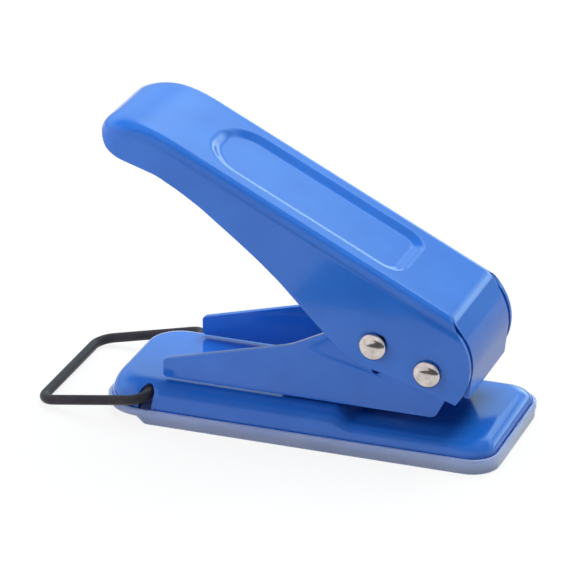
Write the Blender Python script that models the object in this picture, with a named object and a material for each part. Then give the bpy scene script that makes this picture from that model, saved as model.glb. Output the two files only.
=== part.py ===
# Single hole punch: a stamped steel base in a plastic chip tray, a punch frame, a lever handle
# and a wire bail that locks the closed handle. Metres, +Z up, +X towards the nose,
# origin in the middle of the tray's underside.
import math

import bmesh
import bpy
import numpy as np
from mathutils import Matrix, Vector

# Driving sizes of the whole
FIT_GAP = 0.0003
OVERRUN = 0.002
ROUND_SIDES = 32

# Chip tray
TRAY_LENGTH = 0.102
TRAY_WIDTH = 0.043
TRAY_HEIGHT = 0.0038
TRAY_BAND = 0.0018
TRAY_WALL = 0.0008
TRAY_FLOOR = 0.0009
TRAY_FRONT_CORNER = 0.0070
TRAY_REAR_CORNER = 0.0110
TRAY_STEP = 0.0003
TRAY_HEEL = 0.0095
TRAY_HEEL_SLOPE = 0.0022
TRAY_HEEL_CORNER = 0.0020
TRAY_BAND_RISE = 0.0006
BAND_EDGE_RING = 3
TRAY_STATION_SHARES = (-0.62, -0.30, 0.0, 0.60)

# Base plate
BASE_SHEET = 0.0012
BASE_REAR_TOP = 0.0094
BASE_FRONT_TOP = 0.0068
BASE_SKIRT_RISE = 0.0010
STEP_REAR_X = 0.0085
STEP_LENGTH = 0.0065
SIDE_SWEEP_SHARE = 1.35
REAR_SWEEP_SHARE = 0.60
FRONT_SWEEP_SHARE = 1.30
BASE_TOP_FRONT_CORNER = 0.0045
BASE_TOP_REAR_CORNER = 0.0065
BASE_REAR_SHARES = (-0.66, -0.33, 0.0)
BASE_FRONT_SHARES = (0.51, 0.72)
SHOULDER_DEGREES = (0, 18, 36, 54, 72, 90)
BOSS_HEIGHT = 0.0005
BOSS_RADIUS = 0.0042

# Punch frame
FRAME_SHEET = 0.0015
FRAME_HALF_WIDTH = 0.0142
FRAME_BOTTOM = 0.0102
FRAME_TIP_X = -0.0357
FRAME_TIP_TOP = 0.0149
FRAME_LEG_SLOPE_SHARE = 0.262
FRAME_LEG_END_X = -0.0030
FRAME_LOBE_TOP = 0.0310
FRAME_LOBE_RADIUS = 0.0075
LOBE_FRONT_SHARE = 0.62
LOBE_LOW_SHARE = 0.78
LOBE_TOP_SHARE = 0.55
LOBE_CORNER_SHARES = (0.8, 0.5, 0.7, 2.0)
FRAME_TOE_X = 0.0342
FRAME_TOE_CORNER = 0.0022
FRAME_TIP_CORNER = 0.0010
WEB_REAR_X = -0.0055
WEB_FRONT_X = 0.0300
BEND_RADIUS = 0.0020

# Handle, in its own lengthwise (u) and upright (v) directions from the pivot
PIVOT_X = 0.03315
PIVOT_Z = 0.02298
HANDLE_TILT_DEG = 26.6
HANDLE_SWING_DEG = 38.0
HANDLE_SHEET = 0.0013
WALL_ROOM = 0.0017
HANDLE_TOP = 0.0152
HANDLE_BEND = 0.0030
HANDLE_LENGTH = 0.0986
HANDLE_END_CORNER = 0.0074
HANDLE_ROLL_LENGTH = 0.0037
HANDLE_ROLL_DEPTH = 0.0029
HANDLE_ROLL_CORNER = 0.0102
HANDLE_ROLL_START_DEG = 18.0
HANDLE_END_DROOP = 0.0044
DROOP_POWER = 2.2
NOSE_CENTRE_BACK = 0.0040
NOSE_CREASE_OUT = 0.0012
NOSE_TAIL_DEG = 20.0
NOSE_TAIL_LENGTH = 0.0067
NOSE_CENTRE_RISE = 0.0002
NOSE_START = -0.0125
NOSE_SIDE_GAP = 0.0015
NOSE_NARROWING = 0.0042
CREASE_BACK = 0.0015
HANDLE_DROOP_LENGTH = 0.0188
WALL_POINTS = 9
TOP_SHARES = (0.81, 0.75, 0.66, 0.59, 0.35, 0.0)
HANDLE_ROW_SHARES = (0.0316, 0.0642, 0.0892, 0.1143, 0.1469, 0.1794, 0.2233, 0.2671, 0.311, 0.3548,
                     0.3987, 0.4425, 0.4864, 0.5302, 0.5741, 0.6179, 0.6618, 0.7056, 0.7307, 0.752,
                     0.7708, 0.7933, 0.8284, 0.8597, 0.8911, 0.9224, 0.9537, 0.9788)
LOW_EDGE_SHARES = (
    (-1.0000, 0.487), (-0.9858, 0.434), (-0.9695, 0.368), (-0.9543, 0.329), (-0.9177, 0.303),
    (-0.8720, 0.349), (-0.8130, 0.408), (-0.7439, 0.388), (-0.6809, 0.342), (-0.5528, 0.178),
    (-0.4888, 0.086), (-0.4217, -0.033), (-0.3201, -0.263), (-0.2490, -0.414), (-0.2134, -0.480),
    (-0.1778, -0.513), (-0.1524, -0.513), (-0.1260, -0.480), (-0.1016, -0.434), (-0.0224, -0.336),
    (0.0295, -0.270), (0.0722, -0.224), (0.1016, -0.217),
)
RECESS_DEPTH = 0.0010
RECESS_HALF_WIDTH = 0.0100
RECESS_END_MARGIN = 0.0254
RECESS_FRONT = 0.0190
RECESS_RAMP = 0.0030
RECESS_CORNER = 0.0085

# Punch and its pin
PUNCH_X = 0.0195
PUNCH_RADIUS = 0.0030
PUNCH_TIP = 0.0105
PUNCH_TOP = 0.0310
PIN_Z = 0.0281
PUNCH_STROKE = 0.0072
BORE_GAP = 0.0003
PUNCH_PIN_RADIUS = 0.0012
PIVOT_PIN_RADIUS = 0.0020
HEAD_RADIUS = 0.0034
HEAD_HEIGHT = 0.0015
HEAD_RIM = 0.0004
SLEEVE_WALL = 0.0010
WASHER_RADIUS = 0.0042
PIN_WASHER_SHARE = 0.8
TIP_NOTCH = 0.0009

# Spring, guide and die
SPRING_WIRE_RADIUS = 0.00035
SPRING_RADIUS = 0.0047
SPRING_TURNS = 4.5
SPRING_POINTS_PER_TURN = 10
SPRING_END_SHARE = 0.045
SPRING_SEAT_WASHER = 0.0008
GUIDE_RADIUS = 0.0040
GUIDE_RISE = 0.0025
DIE_LENGTH = 0.0200
DIE_WIDTH = 0.0220
DIE_THICKNESS = 0.0022
DIE_CORNER = 0.0015

# Rivets
FRAME_RIVET_X = 0.0015
FRAME_RIVET_PITCH = 0.0130
RIVET_RADIUS = 0.0015
RIVET_HEAD_RADIUS = 0.0027
RIVET_HEAD_HEIGHT = 0.0010
DIE_RIVET_MARGIN = 0.0035
DIE_RIVET_PITCH = 0.0066
CROWN_SHARES = ((1.0, 0.0), (0.94, 0.5), (0.70, 0.9), (0.0, 1.0))

# Wire bail
WIRE_RADIUS = 0.00125
BAIL_REAR_MARGIN = 0.01160
BAIL_Z = 0.0069
BAIL_REACH = 0.0288
BAIL_REST_GAP = 0.0001
BAIL_SIDE_ROOM = 0.0018
BAIL_TAPER = 0.0028
BAIL_SIDE_PLAY = 0.0002
BAIL_END_HALF = 0.0155
BAIL_BEND_FRONT = 0.0034
BAIL_BEND_REAR = 0.0045
SLOT_HOLE_GAP = 0.00065
SLOT_NECK_SHARE = 0.74
SLOT_REACH_SHARE = 0.85

# Sizes that follow
TRAY_HALF_LENGTH = TRAY_LENGTH / 2
TRAY_HALF_WIDTH = TRAY_WIDTH / 2
SKIRT_HALF_LENGTH = TRAY_HALF_LENGTH - TRAY_WALL - FIT_GAP
SKIRT_HALF_WIDTH = TRAY_HALF_WIDTH - TRAY_WALL - FIT_GAP
SKIRT_FRONT_CORNER = TRAY_FRONT_CORNER - TRAY_WALL - FIT_GAP
SKIRT_REAR_CORNER = TRAY_REAR_CORNER - TRAY_WALL - FIT_GAP
LEDGE_TOP = TRAY_HEIGHT - TRAY_BAND + TRAY_FLOOR / 2
SKIRT_BOTTOM = LEDGE_TOP + FIT_GAP
SKIRT_TOP = SKIRT_BOTTOM + BASE_SKIRT_RISE
STEP_FRONT_X = STEP_REAR_X + STEP_LENGTH
FRAME_INNER = FRAME_HALF_WIDTH - FRAME_SHEET
WEB_TOP = FRAME_BOTTOM + FRAME_SHEET
HANDLE_INNER = FRAME_HALF_WIDTH + WALL_ROOM
HANDLE_HALF_WIDTH = HANDLE_INNER + HANDLE_SHEET
NOSE_HALF_WIDTH = HANDLE_INNER - NOSE_SIDE_GAP
HANDLE_FLAT_END = HANDLE_LENGTH - HANDLE_DROOP_LENGTH
HANDLE_ROLL_FROM = HANDLE_LENGTH - HANDLE_ROLL_LENGTH - HANDLE_ROLL_CORNER
HANDLE_ROLL_LEAD = HANDLE_LENGTH - HANDLE_END_CORNER - HANDLE_ROLL_FROM
RECESS_REAR = HANDLE_LENGTH - RECESS_END_MARGIN
HANDLE_TILT = math.radians(HANDLE_TILT_DEG)
HANDLE_SWING = math.radians(HANDLE_SWING_DEG)
CREASE_FROM_CENTRE = math.hypot(NOSE_CENTRE_BACK - CREASE_BACK, HANDLE_TOP - NOSE_CENTRE_RISE)
NOSE_RADIUS = CREASE_FROM_CENTRE - NOSE_CREASE_OUT
NOSE_TANGENT = (math.atan2(HANDLE_TOP - NOSE_CENTRE_RISE, NOSE_CENTRE_BACK - CREASE_BACK)
                - math.acos(NOSE_RADIUS / CREASE_FROM_CENTRE))
PUNCH_PIN_HOLE = PUNCH_PIN_RADIUS + BORE_GAP
PIVOT_PIN_HOLE = PIVOT_PIN_RADIUS + BORE_GAP
PUNCH_HOLE = PUNCH_RADIUS + BORE_GAP
SPRING_BASE = WEB_TOP + FIT_GAP
SEAT_TOP = PIN_Z - PUNCH_PIN_HOLE - SLEEVE_WALL - FIT_GAP
SEAT_BOTTOM = SEAT_TOP - SPRING_SEAT_WASHER
SPRING_LENGTH = SEAT_BOTTOM - FIT_GAP - SPRING_BASE
DIE_RIVET_X = PUNCH_X + DIE_LENGTH / 2 - DIE_RIVET_MARGIN
DIE_TOP = BASE_FRONT_TOP - BASE_SHEET - FIT_GAP
BAIL_X = BAIL_REAR_MARGIN - SKIRT_HALF_LENGTH
BAIL_HALF_WIDTH_FRONT = SKIRT_HALF_WIDTH + BAIL_SIDE_ROOM
BAIL_HALF_WIDTH_REAR = BAIL_HALF_WIDTH_FRONT - BAIL_TAPER
BAIL_DROP = BAIL_Z - WIRE_RADIUS - BAIL_REST_GAP
BAIL_DROOP = math.asin(BAIL_DROP / BAIL_REACH)


def remove_everything():
    for old in list(bpy.data.objects):
        bpy.data.objects.remove(old, do_unlink=True)


def make_material(name, colour, roughness, metallic=0.0, alpha=1.0):
    material = bpy.data.materials.new(name)
    material.use_nodes = True
    shader = material.node_tree.nodes["Principled BSDF"]
    shader.inputs["Base Color"].default_value = (*colour, 1.0)
    shader.inputs["Roughness"].default_value = roughness
    shader.inputs["Metallic"].default_value = metallic
    shader.inputs["Alpha"].default_value = alpha
    return material


def add_object(name, mesh, material=None, smooth_deg=None):
    thing = bpy.data.objects.new(name, mesh)
    bpy.context.scene.collection.objects.link(thing)
    if material:
        mesh.materials.append(material)
    if smooth_deg:
        mesh.shade_smooth()
        mesh.set_sharp_from_angle(angle=math.radians(smooth_deg))
    return thing


def mesh_from(name, points, faces):
    mesh = bpy.data.meshes.new(name)
    mesh.from_pydata([tuple(float(c) for c in p) for p in points], [], faces)
    mesh.validate()
    return mesh


def closed_mesh(name, points, faces):
    # a mesh whose faces are turned outwards
    mesh = mesh_from(name, points, faces)
    work = bmesh.new()
    work.from_mesh(mesh)
    bmesh.ops.recalc_face_normals(work, faces=work.faces)
    work.to_mesh(mesh)
    work.free()
    return mesh


def extrude_outline(name, outline, low, high, axes="XZ", cutter=False, material=None):
    # a flat outline in the first two axes given, extruded along the third axis
    order = {"XZ": (0, 2, 1), "XY": (0, 1, 2), "YZ": (1, 2, 0)}[axes]
    points = []
    for level in (low, high):
        for a, b in outline:
            point = [0.0, 0.0, 0.0]
            point[order[0]], point[order[1]], point[order[2]] = a, b, level
            points.append(point)
    count = len(outline)
    faces = [list(range(count)), list(range(count, 2 * count))]
    faces += [[i, (i + 1) % count, (i + 1) % count + count, i + count] for i in range(count)]
    thing = add_object(name, closed_mesh(name, points, faces), material)
    if cutter:
        hide_cutter(thing)
    return thing


def hide_cutter(thing):
    thing.hide_render = True
    thing.display_type = "WIRE"


def arc(cx, cz, radius, start_deg, end_deg, count):
    angles = np.radians(np.linspace(start_deg, end_deg, count))
    return [(cx + radius * math.cos(a), cz + radius * math.sin(a)) for a in angles]


def round_corners(corners, radii, count=5):
    # an outline whose corners are each rounded with its own radius
    outline = []
    total = len(corners)
    for i, (corner, radius) in enumerate(zip(corners, radii)):
        here = Vector(corner)
        before = (Vector(corners[i - 1]) - here).normalized()
        after = (Vector(corners[(i + 1) % total]) - here).normalized()
        if radius == 0:
            outline.append(tuple(here))
            continue
        half = before.angle(after) / 2
        run = radius / math.tan(half)
        centre = here + (before + after).normalized() * (radius / math.sin(half))
        first = here + before * run - centre
        turn = first.angle_signed(here + after * run - centre)
        for k in range(count):
            angle = -turn * k / (count - 1)
            outline.append((centre.x + first.x * math.cos(angle) - first.y * math.sin(angle),
                            centre.y + first.x * math.sin(angle) + first.y * math.cos(angle)))
    return outline


def turned(name, profile, material=None, axis="Z", centre=(0, 0, 0), sides=ROUND_SIDES, cutter=False):
    # a profile of (radius, height) turned round an axis; a radius of zero is a pole
    points, rings = [], []
    for radius, height in profile:
        if radius == 0:
            rings.append([len(points)])
            points.append((0, 0, height))
            continue
        rings.append(list(range(len(points), len(points) + sides)))
        for k in range(sides):
            angle = 2 * math.pi * k / sides
            points.append((radius * math.cos(angle), radius * math.sin(angle), height))
    closed = profile[0][0] != 0
    faces = []
    pairs = list(zip(rings[:-1], rings[1:])) + ([(rings[-1], rings[0])] if closed else [])
    for low, high in pairs:
        for k in range(sides):
            n = (k + 1) % sides
            if len(low) == 1:
                faces.append([low[0], high[k], high[n]])
            elif len(high) == 1:
                faces.append([low[k], low[n], high[0]])
            else:
                faces.append([low[k], low[n], high[n], high[k]])
    turn = {"Z": Matrix.Identity(4), "Y": Matrix.Rotation(-math.pi / 2, 4, "X")}[axis]
    place = Matrix.Translation(centre) @ turn
    mesh = closed_mesh(name, [place @ Vector(p) for p in points], faces)
    thing = add_object(name, mesh, material, smooth_deg=35)
    if cutter:
        hide_cutter(thing)
    return thing


def round_bar(name, radius, low, high, **more):
    return turned(name, [(0, low), (radius, low), (radius, high), (0, high)], **more)


def ring(name, inner, outer, low, high, **more):
    return turned(name, [(inner, low), (outer, low), (outer, high), (inner, high)], **more)


def combine(thing, other, operation):
    modifier = thing.modifiers.new(operation.lower(), "BOOLEAN")
    modifier.object = other
    modifier.operation = operation
    modifier.solver = "EXACT"


def combine_all(thing, others, operation):
    # several separate cutters joined into one mesh and used at once
    work = bmesh.new()
    for other in others:
        work.from_mesh(other.data)
        bpy.data.objects.remove(other, do_unlink=True)
    mesh = bpy.data.meshes.new("joined_cutters")
    work.to_mesh(mesh)
    work.free()
    joined = add_object(f"{thing.name}_{operation.lower()}_cutters", mesh)
    hide_cutter(joined)
    combine(thing, joined, operation)


def apply_modifiers(thing):
    graph = bpy.context.evaluated_depsgraph_get()
    done = bpy.data.meshes.new_from_object(thing.evaluated_get(graph))
    thing.modifiers.clear()
    thing.data = done


def solidify(thing, thickness):
    modifier = thing.modifiers.new("sheet", "SOLIDIFY")
    modifier.thickness = thickness
    modifier.offset = -1.0
    modifier.use_even_offset = True


# Base plate and tray share one outline: a rounded oblong with matching near and far points
def oblong_half(rear_x, front_x, half_width, rear_corner, front_corner, stations, count=7):
    # the near half of the outline, from the rear to the front
    near = arc(rear_x + rear_corner, -half_width + rear_corner, rear_corner, 180, 270, count)
    near += [(x, -half_width) for x in stations]
    near += arc(front_x - front_corner, -half_width + front_corner, front_corner, 270, 360, count)
    return near


def step_height(x):
    # the plate's top falls in a smooth S from the rear level to the front level
    share = min(max((x - STEP_REAR_X) / STEP_LENGTH, 0.0), 1.0)
    blend = (1 - math.cos(math.pi * share)) / 2
    return BASE_REAR_TOP + (BASE_FRONT_TOP - BASE_REAR_TOP) * blend


def shell_from_rings(halves):
    # near halves of rings, mirrored to the far side, joined ring to ring and capped
    points, rings = [], []
    for half in halves:
        loop = list(half) + [(x, -y, z) for x, y, z in reversed(half)]
        rings.append(list(range(len(points), len(points) + len(loop))))
        points += loop
    faces = []
    for low, high in zip(rings[:-1], rings[1:]):
        total = len(low)
        faces += [[low[k], low[(k + 1) % total], high[(k + 1) % total], high[k]] for k in range(total)]
    last = rings[-1]
    size = len(last) // 2
    for k in range(size - 1):
        faces.append([last[k], last[k + 1], last[2 * size - 2 - k], last[2 * size - 1 - k]])
    return points, faces


def make_base_plate(material):
    stations = [SKIRT_HALF_LENGTH * share for share in BASE_REAR_SHARES]
    stations += [STEP_REAR_X + STEP_LENGTH * k / 8 for k in range(9)]
    stations += [SKIRT_HALF_LENGTH * share for share in BASE_FRONT_SHARES]
    rear_rise = BASE_REAR_TOP - SKIRT_TOP
    front_rise = BASE_FRONT_TOP - SKIRT_TOP
    halves = []
    for level, degrees in enumerate((0,) + SHOULDER_DEGREES):
        sweep = 1 - math.cos(math.radians(degrees))
        rise = math.sin(math.radians(degrees))
        rear_x = -SKIRT_HALF_LENGTH + REAR_SWEEP_SHARE * rear_rise * sweep
        front_x = SKIRT_HALF_LENGTH - FRONT_SWEEP_SHARE * front_rise * sweep
        rear_corner = SKIRT_REAR_CORNER + (BASE_TOP_REAR_CORNER - SKIRT_REAR_CORNER) * sweep
        front_corner = SKIRT_FRONT_CORNER + (BASE_TOP_FRONT_CORNER - SKIRT_FRONT_CORNER) * sweep
        placed = []
        for x, y in oblong_half(rear_x, front_x, SKIRT_HALF_WIDTH, rear_corner, front_corner, stations):
            inset = SIDE_SWEEP_SHARE * (step_height(x) - SKIRT_TOP) * sweep
            z = SKIRT_TOP + (step_height(x) - SKIRT_TOP) * rise if level else SKIRT_BOTTOM
            placed.append((x, y + inset, z))
        halves.append(placed)
    points, faces = shell_from_rings(halves)
    plate = add_object("base_plate", closed_open_shell("base_plate", points, faces), material, 40)
    solidify(plate, BASE_SHEET)
    bosses = [round_bar(f"boss_{k}", BOSS_RADIUS, BASE_REAR_TOP - BASE_SHEET / 2,
                        BASE_REAR_TOP + BOSS_HEIGHT, centre=(x, y, 0), cutter=True, sides=20)
              for k, (x, y) in enumerate(frame_rivet_places())]
    combine_all(plate, bosses, "UNION")
    holes = [round_bar(f"base_rivet_hole_{k}", RIVET_RADIUS + BORE_GAP, 0, PIVOT_Z,
                       centre=(x, y, 0), cutter=True, sides=20)
             for k, (x, y) in enumerate(frame_rivet_places() + die_rivet_places())]
    holes.append(round_bar("base_die_hole", PUNCH_HOLE, 0, PIVOT_Z, centre=(PUNCH_X, 0, 0), cutter=True))
    for side, word in ((-1, "near"), (1, "far")):
        reach = sorted((side * BAIL_END_HALF * SLOT_REACH_SHARE, side * (SKIRT_HALF_WIDTH + OVERRUN)))
        hole = WIRE_RADIUS + SLOT_HOLE_GAP
        neck = hole * SLOT_NECK_SHARE
        outline = arc(BAIL_X, BAIL_Z, hole, -48, 228, 17)
        outline += [(BAIL_X - neck, SKIRT_BOTTOM - OVERRUN), (BAIL_X + neck, SKIRT_BOTTOM - OVERRUN)]
        holes.append(extrude_outline(f"bail_slot_{word}", outline, *reach, cutter=True))
    combine_all(plate, holes, "DIFFERENCE")
    return plate


def closed_open_shell(name, points, faces):
    # an open sheet whose faces look outwards, away from its own middle and upwards
    mesh = mesh_from(name, points, faces)
    work = bmesh.new()
    work.from_mesh(mesh)
    bmesh.ops.recalc_face_normals(work, faces=work.faces)
    top = max(work.faces, key=lambda f: f.calc_center_median().z)
    if top.normal.z < 0:
        bmesh.ops.reverse_faces(work, faces=work.faces)
    work.to_mesh(mesh)
    work.free()
    return mesh


def make_tray(material):
    # one closed solid: the outer wall goes up, over the rim and down inside to the floor
    front, wide = TRAY_HALF_LENGTH, TRAY_HALF_WIDTH
    band = TRAY_HEIGHT - TRAY_BAND
    box_rear = -TRAY_HALF_LENGTH + TRAY_HEEL + TRAY_HEEL_SLOPE
    box_front, box_wide = front - TRAY_STEP, wide - TRAY_STEP
    wall, heel, nose, tail = TRAY_WALL, TRAY_HEEL_CORNER, TRAY_FRONT_CORNER, TRAY_REAR_CORNER
    rise, step = TRAY_BAND_RISE, TRAY_STEP / 2
    rings = [
        (box_rear, box_front, box_wide, heel, nose, 0.0),
        (box_rear - TRAY_HEEL_SLOPE, box_front, box_wide, heel, nose, band),
        (-front + rise, front - step, wide - step, tail - rise, nose, band),
        (-front, front, wide, tail, nose, band),
        (-front, front, wide, tail, nose, TRAY_HEIGHT),
        (-front + wall, front - wall, wide - wall, tail - wall, nose - wall, TRAY_HEIGHT),
        (-front + wall, front - wall, wide - wall, tail - wall, nose - wall, LEDGE_TOP),
        (box_rear + wall - TRAY_HEEL_SLOPE, box_front - 2 * wall, box_wide - 2 * wall, heel,
         nose - 2 * wall, LEDGE_TOP),
        (box_rear + wall, box_front - 2 * wall, box_wide - 2 * wall, heel, nose - 2 * wall, TRAY_FLOOR),
    ]
    stations = [TRAY_HALF_LENGTH * share for share in TRAY_STATION_SHARES]
    halves = []
    for level, (rear, fore, half_width, rear_corner, front_corner, z) in enumerate(rings):
        half = oblong_half(rear, fore, half_width, rear_corner, front_corner, stations, count=8)
        # the band's lower outer edge is cut back a little round the rear
        lift = [rise if level == BAND_EDGE_RING and k < 8 else 0.0 for k in range(len(half))]
        halves.append([(x, y, z + up) for (x, y), up in zip(half, lift)])
    points, faces = shell_from_rings(halves)
    size = len(halves[0])
    for k in range(size - 1):
        faces.append([k, k + 1, 2 * size - 2 - k, 2 * size - 1 - k])
    return add_object("chad_tray", closed_mesh("chad_tray", points, faces), material, 40)


def frame_rivet_places():
    rear = FRAME_RIVET_X
    half = FRAME_RIVET_PITCH / 2
    return [(rear, -half), (rear, half)]


def die_rivet_places():
    half = DIE_RIVET_PITCH / 2
    return [(DIE_RIVET_X, -half), (DIE_RIVET_X, half)]


def frame_wall_outline():
    # the wall seen from the side: a long tapering leg, then a lobe round both pins
    leg_end_z = FRAME_TIP_TOP + FRAME_LEG_SLOPE_SHARE * (FRAME_LEG_END_X - FRAME_TIP_X)
    lobe_rear = PUNCH_X - FRAME_LOBE_RADIUS
    corners = [
        (FRAME_TIP_X, FRAME_BOTTOM),
        (FRAME_TOE_X, FRAME_BOTTOM),
        (PIVOT_X + FRAME_LOBE_RADIUS * LOBE_FRONT_SHARE, PIVOT_Z - FRAME_LOBE_RADIUS * LOBE_LOW_SHARE),
        (PIVOT_X + FRAME_LOBE_RADIUS, PIVOT_Z),
        (PIVOT_X + FRAME_LOBE_RADIUS * LOBE_TOP_SHARE, FRAME_LOBE_TOP),
        (lobe_rear, FRAME_LOBE_TOP),
        (FRAME_LEG_END_X, leg_end_z),
        (FRAME_TIP_X, FRAME_TIP_TOP),
    ]
    tip = FRAME_TIP_CORNER
    radii = [tip, FRAME_TOE_CORNER, 0] + [FRAME_LOBE_RADIUS * share for share in LOBE_CORNER_SHARES] + [tip]
    return round_corners(corners, radii)


def make_frame(material):
    outline = frame_wall_outline()
    frame = extrude_outline("frame", outline, -FRAME_HALF_WIDTH, FRAME_HALF_WIDTH, material=material)
    # the room between the walls, above the web, with the web's bends left round
    half = FRAME_INNER
    top = FRAME_LOBE_TOP + OVERRUN
    bend = BEND_RADIUS - FRAME_SHEET
    section = round_corners([(-half, WEB_TOP), (half, WEB_TOP), (half, top), (-half, top)],
                            [bend * 2, bend * 2, 0, 0], 4)
    room = extrude_outline("frame_room", section, WEB_REAR_X, PIVOT_X + 2 * FRAME_LOBE_RADIUS,
                           axes="YZ", cutter=True)
    combine(frame, room, "DIFFERENCE")
    # no web behind its rear edge or in front of its front edge
    for word, low, high in (("rear", FRAME_TIP_X - OVERRUN, WEB_REAR_X),
                            ("front", WEB_FRONT_X, PIVOT_X + 2 * FRAME_LOBE_RADIUS)):
        box = [(-half, FRAME_BOTTOM - OVERRUN), (half, FRAME_BOTTOM - OVERRUN), (half, top), (-half, top)]
        open_end = extrude_outline(f"frame_open_{word}", box, low, high, axes="YZ", cutter=True)
        combine(frame, open_end, "DIFFERENCE")
    # slots for the punch pin, and round holes for the pivot, the guide and the rivets
    reach = (-FRAME_HALF_WIDTH - OVERRUN, FRAME_HALF_WIDTH + OVERRUN)
    low = PIN_Z - PUNCH_STROKE
    slot = arc(PUNCH_X, PIN_Z, PUNCH_PIN_HOLE, 0, 180, 12) + arc(PUNCH_X, low, PUNCH_PIN_HOLE, 180, 360, 12)
    combine(frame, extrude_outline("pin_slot", slot, *reach, cutter=True), "DIFFERENCE")
    bore = round_bar("pivot_bore", PIVOT_PIN_HOLE, *reach, axis="Y",
                     centre=(PIVOT_X, 0, PIVOT_Z), cutter=True)
    combine(frame, bore, "DIFFERENCE")
    holes = [round_bar("guide_seat", GUIDE_RADIUS + FIT_GAP, 0, WEB_TOP + OVERRUN,
                       centre=(PUNCH_X, 0, 0), cutter=True)]
    holes += [round_bar(f"frame_rivet_hole_{k}", RIVET_RADIUS + BORE_GAP, 0, WEB_TOP + OVERRUN,
                        centre=(x, y, 0), cutter=True, sides=20)
              for k, (x, y) in enumerate(frame_rivet_places())]
    combine_all(frame, holes, "DIFFERENCE")
    return frame


def handle_low_edge(u):
    # height of the side wall's lower edge along the handle, from shares of its length and height
    us, vs = zip(*LOW_EDGE_SHARES)
    return HANDLE_TOP * float(np.interp(u / HANDLE_LENGTH, us, vs))


def handle_top_height(u, y):
    # the top face with its long pressed recess
    along = max(-u - RECESS_REAR, u + RECESS_FRONT)
    across = abs(y) - RECESS_HALF_WIDTH
    corner = RECESS_CORNER if u < -(RECESS_REAR + RECESS_FRONT) / 2 else RECESS_CORNER / 2
    dx, dy = max(along + corner, 0.0), max(across + corner, 0.0)
    distance = math.hypot(dx, dy) - corner
    if min(along, across) + corner < 0:
        distance = max(along, across)
    share = min(max(-distance / RECESS_RAMP + 0.5, 0.0), 1.0)
    return -RECESS_DEPTH * share * share * (3 - 2 * share)


def nose_reach(v):
    # how far forward the handle's nose reaches at a height: a slope under the crease, then an arc
    tangent_v = NOSE_CENTRE_RISE + NOSE_RADIUS * math.sin(NOSE_TANGENT)
    tangent_u = -NOSE_CENTRE_BACK + NOSE_RADIUS * math.cos(NOSE_TANGENT)
    if v > tangent_v:
        share = (v - tangent_v) / (HANDLE_TOP - tangent_v)
        return tangent_u + (-CREASE_BACK - tangent_u) * share
    return -NOSE_CENTRE_BACK + math.sqrt(NOSE_RADIUS ** 2 - (v - NOSE_CENTRE_RISE) ** 2)


def nose_profile():
    # the bent nose panel from just under the crease down to the end of its straight tail
    tangent_v = NOSE_CENTRE_RISE + NOSE_RADIUS * math.sin(NOSE_TANGENT)
    slope = [HANDLE_TOP + (tangent_v - HANDLE_TOP) * share for share in (0.18, 0.4, 0.7)]
    profile = [(nose_reach(v), v) for v in slope]
    profile += arc(-NOSE_CENTRE_BACK, NOSE_CENTRE_RISE, NOSE_RADIUS,
                   math.degrees(NOSE_TANGENT), NOSE_TAIL_DEG, 8)
    tail = math.radians(NOSE_TAIL_DEG)
    end_u, end_v = profile[-1]
    for share in (0.5, 1.0):
        profile.append((end_u + share * NOSE_TAIL_LENGTH * math.sin(tail),
                        end_v - share * NOSE_TAIL_LENGTH * math.cos(tail)))
    return profile


def end_droop(u):
    # how far the top has curved down towards the grip end
    return HANDLE_END_DROOP * (max(-u - HANDLE_FLAT_END, 0.0) / HANDLE_DROOP_LENGTH) ** DROOP_POWER


def handle_column(u, half, turn, front_share):
    # points up the wall, over the bend and in to the middle of the top face
    low = handle_low_edge(u)
    # round the grip end the top's own edge turns earlier and wider than the wall
    start = math.radians(HANDLE_ROLL_START_DEG)
    roll_turn = start + (math.pi / 2 - start) * turn / (math.pi / 2)
    if turn == 0:
        roll_turn = start * min(max((-u - HANDLE_ROLL_FROM) / HANDLE_ROLL_LEAD, 0.0), 1.0)
    edge_u = u
    if roll_turn > 0:
        edge_u = -HANDLE_ROLL_FROM - HANDLE_ROLL_CORNER * math.sin(roll_turn)
    edge_half = HANDLE_HALF_WIDTH - HANDLE_BEND - HANDLE_ROLL_CORNER * (1 - math.cos(roll_turn))
    bend = HANDLE_BEND + (HANDLE_ROLL_DEPTH - HANDLE_BEND) * math.sin(turn)
    wall_top = HANDLE_TOP - bend - end_droop(u)
    column = [(u, half, low + (wall_top - low) * k / WALL_POINTS) for k in range(WALL_POINTS)]
    for degrees in (0, 22.5, 45, 67.5, 90):
        b = math.radians(degrees)
        x = u + (edge_u - u) * (1 - math.cos(b))
        y = half + (edge_half - half) * (1 - math.cos(b))
        column.append((x, y, HANDLE_TOP - bend + bend * math.sin(b) - end_droop(x)))
    top = column[-1][2]
    column += [(edge_u, edge_half * share, top) for share in TOP_SHARES]
    if front_share > 0:
        # towards the nose the columns lean forward on to the nose's outline
        lean = []
        for k, (x, y, v) in enumerate(column):
            end = nose_reach(v) if k < WALL_POINTS + 3 else -CREASE_BACK
            lean.append((NOSE_START + (end - NOSE_START) * front_share, y, v))
        low = handle_low_edge(lean[0][0])
        top = HANDLE_TOP - HANDLE_BEND
        for k in range(WALL_POINTS):
            share = k / WALL_POINTS
            v = low + (top - low) * share
            lean[k] = (NOSE_START + (nose_reach(v) - NOSE_START) * front_share, half, v)
        column = lean
    return [(x, y, v + (handle_top_height(x, y) if k >= WALL_POINTS + 4 else 0.0))
            for k, (x, y, v) in enumerate(column)]


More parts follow.
